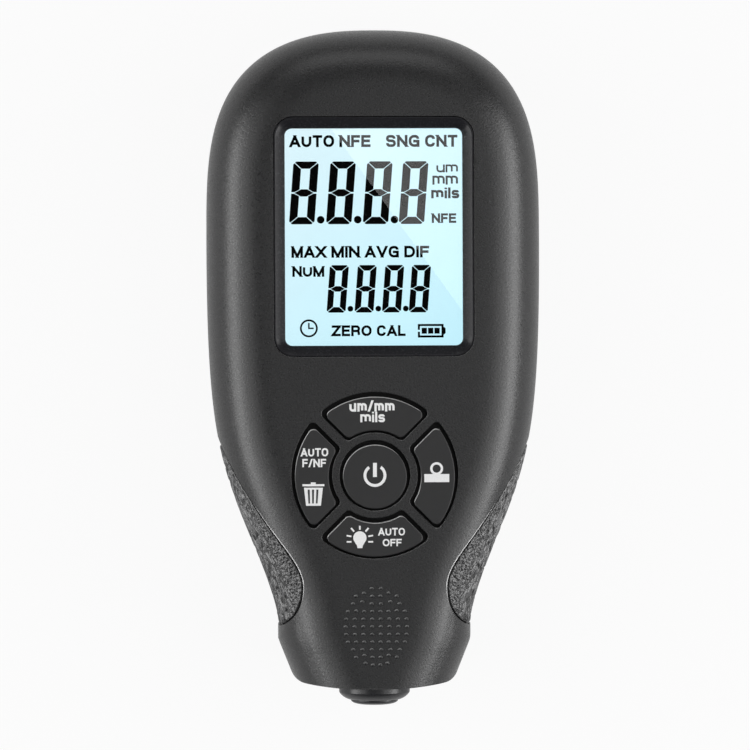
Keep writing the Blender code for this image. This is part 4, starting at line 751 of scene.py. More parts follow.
def carved(name, base, steps):
    """Cut, join or intersect a mesh with others, by exact Booleans."""
    scene = bpy.context.scene.collection
    body = bpy.data.objects.new(name, base)
    scene.objects.link(body)
    tools = []
    for operation, mesh in steps:
        tool = bpy.data.objects.new(mesh.name, mesh)
        scene.objects.link(tool)
        tools.append(tool)
        step = body.modifiers.new(operation.title(), 'BOOLEAN')
        step.operation = operation
        step.solver = 'EXACT'
        step.object = tool
    bpy.context.view_layer.update()
    ready = body.evaluated_get(bpy.context.evaluated_depsgraph_get())
    result = bpy.data.meshes.new_from_object(ready)
    for item in tools + [body]:
        mesh = item.data
        bpy.data.objects.remove(item)
        bpy.data.meshes.remove(mesh)
    result.name = name
    if not result.polygons:
        raise RuntimeError(f"{name} came out empty")
    return result


def add_piece(name, mesh, material, body, replaced=(), crease=35.0):
    """Add a piece that rides on a body, smooth where it is round."""
    mesh.shade_smooth()
    mesh.set_sharp_from_angle(angle=math.radians(crease))
    mesh.materials.clear()
    mesh.materials.append(material)
    item = bpy.data.objects.new(name, mesh)
    bpy.context.scene.collection.objects.link(item)
    even = item.modifiers.new("Even shading", 'WEIGHTED_NORMAL')
    even.keep_sharp = True
    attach(item, body)
    if replaced:
        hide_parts(*replaced)
    return item


def finish_node(node, material):
    """Give a solid of the frame its finish."""
    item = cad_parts[node]
    if not item.material_slots:
        item.data.materials.append(material)
    for place in item.material_slots:
        place.material = material


# The case's rounded body

def rounded_edge(edge, power, rise, angle):
    """How far an edge is drawn in and how high it stands, at an angle round it."""
    drawn = edge * (1 - max(math.cos(angle), 0.0) ** (2 / power))
    return drawn, rise * math.sin(angle) ** (2 / power)


def edge_rings(side, depth, steps):
    """Outlines from the parting plane to the front (side 1) or the back (side -1)."""
    edge, power, rise = EDGES[side]
    rings = []
    for i in range(steps + 1):
        drawn, height = rounded_edge(edge, power, rise, math.pi / 2 * i / steps)
        height *= (rise - depth) / rise
        rings.append((PARTING_Z + side * height, case_outline(depth + drawn)))
    return rings


def hollow_rings(steps):
    """Outlines of the front's inside, whose edge turns more tightly than the outside."""
    power, rise = EDGES[1][1:]
    rings = []
    for i in range(steps + 1):
        drawn, height = rounded_edge(HOLLOW_EDGE, power, rise - FACE_WALL,
                                     math.pi / 2 * i / steps)
        rings.append((PARTING_Z + height, case_outline(SIDE_WALL + drawn)))
    return rings


def half_body(name, side, depth, rim_z, steps):
    """One half of the body, drawn in by a depth and closed off flat at its rim."""
    rings = edge_rings(side, depth, steps)
    rings[0] = (rim_z, rings[0][1])
    return loft_mesh(name, rings)


def whole_body(name, depth):
    """The whole body shape, drawn in evenly by a depth."""
    rear = edge_rings(-1, depth, 12)
    front = edge_rings(1, depth, 20)
    return loft_mesh(name, rear[:0:-1] + front)


def chin_end():
    """Everything above the chin's curved end, with round corners and a rolled edge."""
    centre_y = CHIN_Y + CHIN_ARC_RADIUS
    half_angle = math.atan(CHIN_TAPER)
    corner = CHIN_CORNER_RADIUS
    line = Vector((NECK_HALF_WIDTH, NECK_END_Y))
    normal = Vector((math.cos(half_angle), -math.sin(half_angle)))
    along = Vector((-math.sin(half_angle), -math.cos(half_angle)))
    start = line - normal * corner
    offset = start - Vector((0.0, centre_y))
    reach = CHIN_ARC_RADIUS - corner
    b = offset.dot(along)
    centre = start + along * (-b + math.sqrt(b * b - offset.length_squared + reach * reach))
    spread = math.atan2(centre.x, centre_y - centre.y)
    edge_angle = -half_angle - CHIN_CORNER_SPREAD
    right = arc((0.0, centre_y), CHIN_ARC_RADIUS, -math.pi / 2, -math.pi / 2 + spread, 20)
    right += arc(centre, corner, -math.pi / 2 + spread, edge_angle, 14)[1:]
    last = Vector(right[-1])
    flare = Vector((-math.sin(edge_angle), math.cos(edge_angle)))
    right.append(tuple(last + flare * 2 * HEAD_HALF_WIDTH))
    right.append((right[-1][0], HEAD_CENTRE_Y + 2 * HEAD_RISE))
    left = [(-x, y) for x, y in reversed(right[1:])]
    return flat_mesh("chin_end", [left + right], 0.0, CASE_DEPTH, CHIN_EDGE, 0)


def inside_limit(name):
    """A block that keeps a hollow clear of the end wall at the chin."""
    far, end = 3 * HEAD_RISE, CHIN_Y + END_WALL
    outline = [(-far, end), (far, end), (far, far), (-far, far)]
    return loft_mesh(name, [(-far, outline), (far, outline)])


def rolled_cutter(name, outline, low, rim):
    """A cutter for a hole in the face whose rim rolls over into the face."""
    start = CASE_DEPTH - rim
    rings = [(low, outline(0.0)), (start, outline(0.0))]
    for i in range(1, RIM_STEPS + 1):
        angle = RIM_TURN * i / RIM_STEPS
        rings.append((start + rim * math.sin(angle), outline(rim * (1 - math.cos(angle)))))
    rings.append((CASE_DEPTH + MM, rings[-1][1]))
    return loft_mesh(name, rings)


def display_outline(grow):
    """The display opening in the face, grown evenly."""
    border = 2 * (BEZEL_BORDER + grow)
    return rounded_box((0.0, DISPLAY_Y), VIEW_WIDTH + border, VIEW_HEIGHT + border,
                       BEZEL_CORNER + grow)


def grip_edge(steps=40):
    """The grip's boundary on the face, right-hand side, with tangents."""
    top, inner, end = Vector(GRIP_TOP), Vector(GRIP_INNER), Vector(GRIP_END)
    lead = Vector((-math.sin(GRIP_TOP_ANGLE), -math.cos(GRIP_TOP_ANGLE))) * GRIP_TOP_LEAD
    tail = Vector((-math.cos(GRIP_END_ANGLE), math.sin(GRIP_END_ANGLE))) * GRIP_END_LEAD
    edge = cubic(top, top + lead, inner + Vector((0.0, GRIP_INNER_LEAD)), inner, steps)
    edge += cubic(inner, inner - Vector((0.0, GRIP_INNER_TAIL)), end + tail, end, steps // 2)[1:]
    return edge


def grip_pocket(side):
    """The pocket in the case that a grip lies in."""
    points = []
    for point, tangent in grip_edge():
        normal = Vector((tangent.y, -tangent.x)).normalized()
        points.append(tuple(point + normal * FIT))
    outside = 2 * HEAD_HALF_WIDTH
    points += [(outside, points[-1][1]), (outside, points[0][1])]
    region = loft_mesh("pocket_region", [(-MM, points), (CASE_DEPTH + MM, points)])
    core = whole_body("core", GRIP_THICKNESS + FIT)
    pocket = carved("pocket", region, [('DIFFERENCE', core)])
    return mirrored(pocket) if side < 0 else pocket


def collar_hole():
    """The hole in the end wall that the probe's collar passes."""
    collar = COLLAR_RADIUS + FIT
    inside = CHIN_Y + END_WALL + MM
    outside = CHIN_Y - COLLAR_HOLE_MARGIN
    profile = [(0.0, outside), (collar, outside), (collar, inside), (0.0, inside)]
    return turned_mesh("collar_hole", profile, (0.0, PARTING_Z))


# Pieces

def front_moulding():
    """The front moulding with rolled rims round its openings."""
    rim = sizes().opening_rim
    hollow = loft_mesh("front_hollow", [(FRONT_RIM_Z - MM, case_outline(SIDE_WALL))]
                       + hollow_rings(8)[1:])
    hollow = carved("front_hollow", hollow, [('INTERSECT', inside_limit("front_limit"))])
    low = CASE_DEPTH - FACE_WALL - MM
    cutters = [hollow, rolled_cutter("display_hole", display_outline, low, DISPLAY_RIM)]
    for node, body, direction in KEYS:
        def hole(grow, a=direction):
            return keyhole(a, grow)
        cutters.append(rolled_cutter(node + "_hole", hole, low, rim))
    cutters += [grip_pocket(side) for side in (1, -1)] + [collar_hole()]
    steps = [('INTERSECT', chin_end())] + [('DIFFERENCE', cutter) for cutter in cutters]
    return carved("front_moulding", half_body("front_moulding", 1, 0.0, FRONT_RIM_Z, 30), steps)


def rear_skin():
    """The rounded side of the rear moulding, laid smoothly over its solid."""
    back = case_outline(SKIN_REACH)
    cutters = [whole_body("core", SKIN_THICKNESS),
               loft_mesh("back_plate", [(-MM, back), (REAR_RIM_Z / 2, back)]),
               grip_pocket(1), grip_pocket(-1), collar_hole()]
    steps = [('INTERSECT', chin_end())] + [('DIFFERENCE', cutter) for cutter in cutters]
    return carved("rear_skin", half_body("rear_skin", -1, -SKIN_PROUD, REAR_RIM_Z, 24), steps)


def thumb_pad():
    """Small low domes in an oval field."""
    work = bmesh.new()
    height = sizes().pip_height
    middle = (len(PAD_ROWS) - 1) / 2
    for row, (count, raised) in enumerate(PAD_ROWS):
        up = (middle - row) * PAD_ROW_PITCH
        half = PAD_HALF_WIDTH * math.sqrt(1 - (up / PAD_HALF_HEIGHT) ** 2)
        pitch = min(2 * half / (count - 1), PAD_LARGEST_PITCH)
        lifted = (1, count - 2) if raised > 0 else (0, count - 1)
        for i in range(count):
            lift = abs(raised) * MM if i in lifted else 0.0
            spot = Matrix.Translation((PAD_X + (i - (count - 1) / 2) * pitch,
                                       PAD_Y + up + lift, CASE_DEPTH))
            shape = spot @ Matrix.Diagonal((PIP_HALF_WIDTH, PIP_HALF_HEIGHT, height, 1.0))
            dome = bmesh.ops.create_uvsphere(work, u_segments=16, v_segments=12, radius=1.0,
                                             matrix=shape)
            low = [v for v in dome["verts"] if v.co.z < CASE_DEPTH - PIP_ROOT]
            bmesh.ops.delete(work, geom=low, context='VERTS')
    rims = [edge for edge in work.edges if edge.is_boundary]
    bmesh.ops.holes_fill(work, edges=rims)
    return closed_mesh("thumb_pips", work)


def skin_trace(limit, edge_x, insets, widths):
    """The body's skin across one height, from a rear boundary round to a front one."""
    halves = []
    for side in (1, -1):
        edge, power, rise = EDGES[side]
        last = math.pi / 2
        if limit < edge:
            last = math.acos((1 - limit / edge) ** (power / 2))
        trace = [rounded_edge(edge, power, rise, last * s) for s in np.linspace(0.0, 1.0, 240)]
        half = [(float(np.interp(drawn, insets, widths)), PARTING_Z + side * height)
                for drawn, height in trace]
        if limit > edge:
            half.append((edge_x, half[-1][1]))
        halves.append(half)
    return np.array(halves[0][:0:-1] + halves[1])


def grip_rows():
    """Rows of points on the case's skin inside a grip's boundary, right-hand side."""
    edge = [point for point, tangent in grip_edge(80)][::-1]
    edge_x = np.array([point.x for point in edge])
    edge_y = np.array([point.y for point in edge])
    top, bottom = GRIP_TOP[1], GRIP_END[1]
    while (np.interp(top, edge_y, edge_x)
           > side_widths(0.0, np.array([top]))[0] - GRIP_SEARCH_STEP):
        top -= GRIP_SEARCH_STEP
    heights = np.linspace(top, bottom, int((top - bottom) / GRIP_PITCH) + 1)
    insets = np.linspace(0.0, FRONT_EDGE + 2 * MM, 60)
    table = np.array([side_widths(inset, heights) for inset in insets])
    rows = []
    for r, y in enumerate(heights):
        x = float(np.interp(y, edge_y, edge_x))
        limit = float(np.interp(-x, -table[:, r], insets))
        trace = skin_trace(limit, x, insets, table[:, r])
        steps = np.hypot(*np.diff(trace, axis=0).T)
        rows.append((float(y), trace, np.concatenate(([0.0], np.cumsum(steps)))))
    return rows


def skin_height(x, y):
    """Height of the body's front skin over a point."""
    edge, power, rise = EDGES[1]
    insets = np.linspace(0.0, edge, 120)
    widths = np.array([side_widths(inset, np.array([y]))[0] for inset in insets])
    drawn = float(np.interp(-x, -widths, insets))
    return PARTING_Z + rise * (1 - (1 - drawn / edge) ** power) ** (1 / power)


def pocket_beads():
    """A thin bead on the rim of each grip's pocket, along its upper and inner side."""
    line = []
    for point, tangent in grip_edge(BEAD_EDGE_STEPS)[BEAD_FIRST:BEAD_LAST]:
        normal = Vector((tangent.y, -tangent.x)).normalized()
        x, y = point + normal * (FIT + BEAD_RADIUS * BEAD_LIFT)
        line.append((x, y, skin_height(x, y)))
    last = len(line) - 1
    meshes = []
    for side in (1, -1):
        curve = bpy.data.curves.new("bead", 'CURVE')
        curve.dimensions = '3D'
        curve.bevel_depth = BEAD_RADIUS
        curve.bevel_resolution = 2
        curve.use_fill_caps = True
        spline = curve.splines.new('POLY')
        spline.points.add(last)
        for i, (spot, (x, y, z)) in enumerate(zip(spline.points, line)):
            spot.co = (side * x, y, z, 1.0)
            spot.radius = min(1.0, 0.15 + 4.0 * min(i, last - i) / last)
        meshes.append(mesh_from_curve(curve, Matrix.Identity(4)))
    return joined("pocket_beads", meshes)


def grip_skin(name, side):
    """A grip: a skin with a leather grain, rolled down at its border."""
    rows = grip_rows()
    longest = max(length[-1] for y, trace, length in rows)
    columns = int(longest / GRIP_PITCH)
    points = np.zeros((len(rows), columns + 1, 3))
    for r, (y, trace, length) in enumerate(rows):
        marks = np.linspace(0.0, length[-1], columns + 1)
        points[r, :, 0] = np.interp(marks, length, trace[:, 0])
        points[r, :, 1] = y
        points[r, :, 2] = np.interp(marks, length, trace[:, 1])
    normals = np.cross(np.gradient(points, axis=1), np.gradient(points, axis=0))
    normals /= np.maximum(np.linalg.norm(normals, axis=2, keepdims=True), 1e-12)
    if normals[len(rows) // 2, columns // 2, 0] < 0:
        normals = -normals
    down, across = np.arange(len(rows)), np.arange(columns + 1)
    lengths = np.array([length[-1] for y, trace, length in rows])[:, None] / columns
    border = np.minimum(np.minimum(down, down[::-1])[:, None] * GRIP_PITCH,
                        np.minimum(across, across[::-1])[None, :] * lengths)
    inward = np.clip(GRIP_ROLL - border, 0.0, GRIP_ROLL)
    drop = GRIP_ROLL - np.sqrt(np.maximum(GRIP_ROLL * GRIP_ROLL - inward * inward, 0.0))
    crest = leather(points, side)
    full = np.clip(GRAIN_BORDER_SHARE + border / GRAIN_BORDER, 0.0, 1.0)
    lift = -drop + (crest - 1.0) * sizes().grain_depth * full
    outer = points + normals * lift[..., None]
    inner = points - normals * (GRIP_THICKNESS - GRIP_BACK_GAP)
    mesh = sheet_mesh(name, outer, inner, crest)
    return mirrored(mesh) if side < 0 else mesh


def leather(points, side):
    """Height of the grain from 0 in a crease to 1 on a crown, at each point.

    The grain is drawn out along the case's side and finer towards the face.
    """
    noise.seed_set(GRAIN_SEED)
    cell = sizes().grain_size
    crest = np.zeros(points.shape[:2])
    for r, c in np.ndindex(crest.shape):
        x, y, z = points[r, c]
        along, across = GRAIN_ALONG * x + GRAIN_ACROSS * y, GRAIN_ACROSS * x - GRAIN_ALONG * y
        spot = Vector((across * GRAIN_NARROW, z * GRAIN_NARROW, along * GRAIN_LONG)) / cell
        spot += Vector((side * GRAIN_LONG_SHIFT, 0.0, 0.0))
        spot += noise.noise_vector(spot * 0.8) * GRAIN_LONG_BEND
        long_cells = min(abs(noise.noise(spot)) * 2.6, 1.0)
        spot = Vector((x, y, z)) / (cell * GRAIN_FINE)
        spot += Vector((0.0, side * GRAIN_FINE_SHIFT, 0.0))
        bent = spot + noise.noise_vector(spot * 0.6) * GRAIN_FINE_BEND
        distances = noise.voronoi(bent)[0]
        fine_cells = min((distances[1] - distances[0]) / 0.3, 1.0)
        fine_cells *= 0.75 + 0.5 * noise.noise(spot * 0.9)
        share = min(max((z - GRAIN_TURN_Z) / GRAIN_TURN_SPAN, 0.0), GRAIN_TURN_MOST)
        crest[r, c] = long_cells * (1 - share) + fine_cells * share
    return np.clip(crest, 0.0, 1.0)


def sheet_mesh(name, outer, inner, crest):
    """A closed sheet between two grids of points, with its grain stored on the points."""
    rows, columns = outer.shape[:2]
    pick_r = sorted(set(range(0, rows, GRIP_BASE_STRIDE)) | {rows - 1})
    pick_c = sorted(set(range(0, columns, GRIP_BASE_STRIDE)) | {columns - 1})
    work = bmesh.new()
    layer = work.verts.layers.float.new("crest")
    top = [[work.verts.new(outer[r, c]) for c in range(columns)] for r in range(rows)]
    for r in range(rows):
        for c in range(columns):
            top[r][c][layer] = crest[r, c]
    base = {(r, c): work.verts.new(inner[r, c]) for r in pick_r for c in pick_c}
    for r in range(rows - 1):
        for c in range(columns - 1):
            work.faces.new((top[r][c], top[r][c + 1], top[r + 1][c + 1], top[r + 1][c]))
    for r, r2 in zip(pick_r, pick_r[1:]):
        for c, c2 in zip(pick_c, pick_c[1:]):
            work.faces.new((base[r, c], base[r2, c], base[r2, c2], base[r, c2]))
    for r in (0, rows - 1):
        for c, c2 in zip(pick_c, pick_c[1:]):
            work.faces.new([top[r][k] for k in range(c, c2 + 1)] + [base[r, c2], base[r, c]])
    for c in (0, columns - 1):
        for r, r2 in zip(pick_r, pick_r[1:]):
            work.faces.new([top[k][c] for k in range(r, r2 + 1)] + [base[r2, c], base[r, c]])
    return closed_mesh(name, work)


def key_cap(node, direction):
    """A key with a rounded top edge and its retaining flange."""
    edge = sizes().key_edge
    low, top = (corner[2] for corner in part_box(node))

    def ring(grow):
        return [(x, y - KEY_DROP) for x, y in keyhole(direction, grow - KEY_GAP)]

    flange = keyhole(direction, FIT if direction is None else KEY_FLANGE)
    shoulder = low + KEY_SHOULDER
    rings = [(low, flange), (shoulder, flange), (shoulder, ring(0.0)), (top - edge, ring(0.0))]
    for i in range(1, KEY_EDGE_STEPS + 1):
        angle = math.pi / 2 * i / KEY_EDGE_STEPS
        rings.append((top - edge + edge * math.sin(angle), ring(-edge * (1 - math.cos(angle)))))
    return loft_mesh(node + "_cap", rings)


def bezel_frame():
    """The frame round the display, with a smooth hollow slope down to its lip."""
    low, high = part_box("display_bezel")
    bottom, top = low[2], high[2]
    centre = (0.0, (low[1] + high[1]) / 2)
    flange = rounded_box(centre, high[0] - low[0], high[1] - low[1], BEZEL_CORNER + BEZEL_FLANGE)

    def ring(grow, corner):
        return rounded_box(centre, VIEW_WIDTH + 2 * grow, VIEW_HEIGHT + 2 * grow, corner)

    rim, body = BEZEL_BORDER - BEZEL_GAP, BEZEL_CORNER - BEZEL_GAP
    shoulder = bottom + BEZEL_SHOULDER
    rings = [(bottom, flange), (shoulder, flange), (shoulder, ring(rim, body)),
             (top - BEZEL_EDGE, ring(rim, body)),
             (top - BEZEL_EDGE * 0.3, ring(rim - BEZEL_EDGE * 0.3, body)),
             (top, ring(rim - BEZEL_EDGE, body))]
    for share, sag in BEZEL_SLOPE:
        corner = VIEW_CORNER + (BEZEL_CORNER - BEZEL_TURN - VIEW_CORNER) * share
        rings.append((top - BEZEL_SLOPE_DEPTH * sag,
                      ring((rim - BEZEL_TOP_LAND) * share, corner)))
    lip = top - BEZEL_SLOPE_DEPTH - BEZEL_LAND
    seat = ring(WINDOW_SEAT + FIT, VIEW_CORNER + FIT)
    rings += [(lip, ring(0.0, VIEW_CORNER)), (lip, seat), (bottom, seat)]
    return loft_mesh("bezel_frame", rings, looped=True)


# Print

# Each letter: its width for a height of 1, then its strokes. A stroke is the radius of its
# corners, then its points in a box from 0 to 1.
LETTERS = {
    "A": (0.95, (0, (0, 0), (0.5, 1)), (0, (1, 0), (0.5, 1)), (0, (0.2, 0.26), (0.8, 0.26))),
    "C": (0.85, (0.45, (0.97, 0.7), (0.97, 1), (0, 1), (0, 0), (0.97, 0), (0.97, 0.3))),
    "D": (0.85, (0, (0, 0), (0, 1)), (0.45, (0, 1), (1, 1), (1, 0), (0, 0))),
    "E": (0.72, (0, (1, 1), (0, 1), (0, 0), (1, 0)), (0, (0, 0.52), (0.9, 0.52))),
    "F": (0.68, (0, (1, 1), (0, 1), (0, 0)), (0, (0, 0.5), (0.9, 0.5))),
    "G": (0.9, (0.45, (0.97, 0.72), (0.97, 1), (0, 1), (0, 0), (1, 0), (1, 0.3)),
          (0, (0.56, 0.47), (1, 0.47), (1, 0))),
    "I": (0.0, (0, (0.5, 0), (0.5, 1))),
    "L": (0.66, (0, (0, 1), (0, 0), (1, 0))),
    "M": (1.05, (0, (0, 0), (0, 1)), (0, (1, 0), (1, 1)), (0, (0, 1), (0.5, 0)),
          (0, (1, 1), (0.5, 0))),
    "N": (0.86, (0, (0, 0), (0, 1)), (0, (1, 0), (1, 1)), (0, (0, 1), (1, 0))),
    "O": (0.95, (0.48, (0.5, 1), (1, 1), (1, 0), (0.5, 0)),
          (0.48, (0.5, 1), (0, 1), (0, 0), (0.5, 0))),
    "R": (0.82, (0, (0, 0), (0, 1)), (0.25, (0, 1), (0.96, 1), (0.96, 0.47), (0, 0.47)),
          (0.15, (0.5, 0.47), (0.92, 0.47), (0.97, 0))),
    "S": (0.8, (0.27, (0.96, 0.74), (0.96, 1), (0, 1), (0, 0.54), (1, 0.5), (1, 0), (0, 0),
                (0, 0.27))),
    "T": (0.8, (0, (0, 1), (1, 1)), (0, (0.5, 1), (0.5, 0))),
    "U": (0.85, (0.42, (0, 1), (0, 0), (1, 0), (1, 1))),
    "V": (0.95, (0, (0, 1), (0.5, 0)), (0, (1, 1), (0.5, 0))),
    "X": (0.9, (0, (0, 1), (1, 0)), (0, (0, 0), (1, 1))),
    "Z": (0.8, (0, (0, 1), (1, 1)), (0, (0, 0), (1, 0)), (0, (0, 0), (1, 1))),
    "/": (0.4, (0, (0, 0), (1, 1))),
    "i": (0.0, (0, (0.5, 0), (0.5, 0.66)), (0.001, (0.5, 0.93), (0.5, 1.12))),
    "l": (0.0, (0, (0.5, 0), (0.5, 1))),
    "m": (0.95, (0, (0, 0), (0, 0.7)), (0.2, (0, 0.7), (0.5, 0.7), (0.5, 0)),
          (0.2, (0.5, 0.7), (1, 0.7), (1, 0))),
    "s": (0.5, (0.17, (0.95, 0.55), (0.95, 0.7), (0, 0.7), (0, 0.36), (1, 0.34), (1, 0), (0, 0),
                (0, 0.15))),
    "u": (0.6, (0.25, (0, 0.7), (0, 0), (1, 0), (1, 0.7)), (0, (1, 0.7), (1, 0))),
}
SMALL_LETTERS = "msu"
CORNER_PULL = 0.56
LETTER_GAP = 0.1
DISPLAY_WEIGHT = 0.225
KEY_WEIGHT = 0.2


def soft_path(points, radius):
    """A path with its corners rounded off."""
    path = [points[0]]
    last = len(points) - 2
    for i, (before, corner, after) in enumerate(zip(points, points[1:], points[2:])):
        reach_in = (before - corner).length * (1.0 if i == 0 else 0.5)
        reach_out = (after - corner).length * (1.0 if i == last - 1 else 0.5)
        reach = min(radius, reach_in, reach_out)
        if reach <= 0.0:
            path.append(corner)
            continue
        start = corner + (before - corner).normalized() * reach
        end = corner + (after - corner).normalized() * reach
        path += [p for p, t in cubic(start, start.lerp(corner, CORNER_PULL),
                                     end.lerp(corner, CORNER_PULL), end, 7)]
    path.append(points[-1])
    return [p for p, q in zip(path, path[1:]) if (q - p).length > 1e-6] + [path[-1]]


def thick_path(path, weight):
    """The outline of a stroke of an even weight along a path."""
    sides = ([], [])
    steps = [(end - start).normalized() for start, end in zip(path, path[1:])]
    for point, behind, ahead in zip(path, steps[:1] + steps, steps + steps[-1:]):
        along = (ahead + behind).normalized()
        normal = Vector((-along.y, along.x)) * weight / 2 / max(along.dot(behind), 0.5)
        sides[0].append(point + normal)
        sides[1].append(point - normal)
    return sides[0] + sides[1][::-1]


def cropped(outline, low, high):
    """The part of a convex outline between two heights."""
    for limit, keep in ((low, 1), (high, -1)):
        kept = []
        for a, b in zip(outline, outline[1:] + outline[:1]):
            above, below = keep * (a.y - limit), keep * (b.y - limit)
            if above >= 0:
                kept.append(a)
            if above * below < 0:
                kept.append(a.lerp(b, above / (above - below)))
        outline = kept
    return outline


def word_shapes(text, left, right, bottom, top, share):
    """Outlines of a word's strokes that fill a box. A stroke's weight is a share of its height."""
    weight = share * (top - bottom)
    tall = top - bottom
    if all(letter in SMALL_LETTERS for letter in text):
        tall /= 0.7 + 0.3 * weight / (top - bottom)
    gap = LETTER_GAP * (top - bottom)
    widths = [LETTERS[letter][0] for letter in text]
    room = right - left - gap * (len(text) - 1) - weight * len(text)
    shapes = []
    for letter, width in zip(text, widths):
        wide = width * room / sum(widths)
        for radius, *spots in LETTERS[letter][1:]:
            points = [Vector((left + weight / 2 + x * wide,
                              bottom + weight / 2 + y * (tall - weight))) for x, y in spots]
            step = points[1] - points[0]
            slanted = len(points) == 2 and step.x != 0.0 and step.y != 0.0
            if slanted:
                reach = step.normalized() * 2 * weight
                points = [points[0] - reach, points[1] + reach]
            elif radius == 0:
                reach = weight / 2
                points[0] = points[0] + (points[0] - points[1]).normalized() * reach
                points[-1] = points[-1] + (points[-1] - points[-2]).normalized() * reach
            outline = thick_path(soft_path(points, radius * tall), weight)
            shapes.append(cropped(outline, bottom, bottom + tall) if slanted else outline)
        left += wide + weight + gap
    return [[tuple(p) for p in shape] for shape in shapes]


def word_marks(words, share):
    """Marks of some words, each a text and the left, right, bottom and top of its box."""
    return [[shape] for text, *box in words for shape in word_shapes(text, *box, share)]


def bar(left, right, bottom, top):
    """A rectangle's outline."""
    return [(left, bottom), (right, bottom), (right, top), (left, top)]


def stroke(start, end, width):
    """A straight stroke's outline."""
    a, b = Vector(start), Vector(end)
    side = (b - a).normalized().orthogonal() * width / 2
    return [tuple(p) for p in (a + side, b + side, b - side, a - side)]


def digit_segments(left, width, bottom, top, wide_stroke, tall_stroke, gap):
    """The seven segments of a slanting digit, with mitred ends and blunt corners."""
    tall = top - bottom
    wide = width - DIGIT_LEAN * tall
    s, h, e = wide_stroke, tall_stroke, gap * 0.36
    blunt = s * 0.36
    middle, tip, mitre, foot = tall / 2, s * 0.38, 0.8 * s, gap * 1.15
    cap = [(blunt / 2 + e, -blunt / 2 + e), (blunt, 0.0), (wide - blunt, 0.0),
           (wide - blunt / 2 - e, -blunt / 2 + e), (wide - s - 2 * e, -h), (s + 2 * e, -h)]
    shapes = [[(x, tall + y) for x, y in cap], [(x, -y) for x, y in cap]]
    shapes.append([(tip, middle), (tip + mitre, middle + h / 2),
                   (wide - tip - mitre, middle + h / 2), (wide - tip, middle),
                   (wide - tip - mitre, middle - h / 2), (tip + mitre, middle - h / 2)])
    post = [(0.0, middle - blunt), (blunt / 2 - e, middle - blunt / 2 - e),
            (s, middle - h - 2 * e), (s, foot + 0.36 * h), (tip, foot), (0.0, foot)]
    for side in (1, -1):
        for up in (1, -1):
            shapes.append([(x if side > 0 else wide - x, middle + up * y) for x, y in post])
    return [[(left + px + DIGIT_LEAN * py, bottom + py) for px, py in shape]
            for shape in shapes]


# The display's words, in mm from its middle: left, right, bottom and top
DISPLAY_WORDS = (
    ("AUTO", -14.00, -6.53, 15.11, 17.11), ("NFE", -5.65, -0.45, 15.11, 17.11),
    ("SNG", 2.14, 7.74, 15.11, 17.11), ("CNT", 8.68, 14.09, 15.11, 17.11),
    ("um", 10.55, 14.15, 10.84, 12.18), ("mm", 9.88, 14.15, 8.79, 10.31),
    ("mils", 9.67, 14.36, 6.49, 8.31), ("NFE", 9.75, 13.83, 2.38, 3.98),
    ("MAX", -13.74, -7.95, -3.38, -1.43), ("MIN", -7.06, -2.34, -3.38, -1.43),
    ("AVG", -1.46, 4.22, -3.38, -1.43), ("DIF", 5.13, 9.29, -3.38, -1.43),
    ("NUM", -13.60, -8.27, -6.56, -4.77), ("ZERO", -7.06, -0.39, -16.51, -14.69),
    ("CAL", 0.49, 5.29, -16.51, -14.69))
DIGIT_LEAN = 0.076

# Each row of digits: their left edges, then a digit's width, bottom, top, wide stroke, tall
# stroke and gap, then its point's distance from the left edge, height and radius
DIGIT_ROWS = (
    ((-14.14, -7.95, -1.81, 4.20), (5.05, 2.22, 12.71, 1.36, 1.2, 0.11), (5.31, 2.97, 0.64)),
    ((-7.92, -3.25, 1.34, 5.82), (3.78, -12.56, -4.63, 1.03, 0.92, 0.1), (4.0, -11.92, 0.48)))
CLOCK = (-10.88, -15.17)
CLOCK_RADIUS, CLOCK_INNER, CLOCK_HAND = 1.5, 1.18, 0.13
BATTERY_FRAME = ((7.34, -14.51), (11.65, -14.51), (11.65, -16.78), (7.34, -16.78), (7.34, -15.8),
                 (7.7, -15.8), (7.7, -16.42), (11.29, -16.42), (11.29, -14.87), (7.7, -14.87),
                 (7.7, -15.49), (7.34, -15.49))
BATTERY_TIP = ((11.65, -15.0), (11.86, -15.1), (11.99, -15.3), (11.99, -15.99), (11.86, -16.19),
               (11.65, -16.29))

# The keys' words, in mm from the middle of the centre key: left, right, bottom and top
KEY_WORDS = {
    "key_units": (("um/mm", -4.2, 3.3, 10.62, 12.48), ("mils", -2.4, 1.7, 8.85, 10.59)),
    "key_mode": (("AUTO", -12.3, -7.75, 3.21, 4.58), ("F/NF", -12.05, -8.1, 1.43, 2.80)),
    "key_light": (("AUTO", 0.5, 4.95, -9.98, -8.71), ("OFF", 1.25, 4.4, -11.76, -10.54)),
}
LAMP = (-2.55, -10.35)


def printed(name, marks, middle_y, low, thickness):
    """Marks, each an outline in mm and its holes, as thin films."""
    high = low + thickness
    meshes = []
    for i, shapes in enumerate(marks):
        outlines = [[(x * MM, y * MM + middle_y) for x, y in shape] for shape in shapes]
        meshes.append(flat_mesh("mark", outlines, low, high - i % FILM_LEVELS * FILM_STEP))
    return joined(name, meshes)


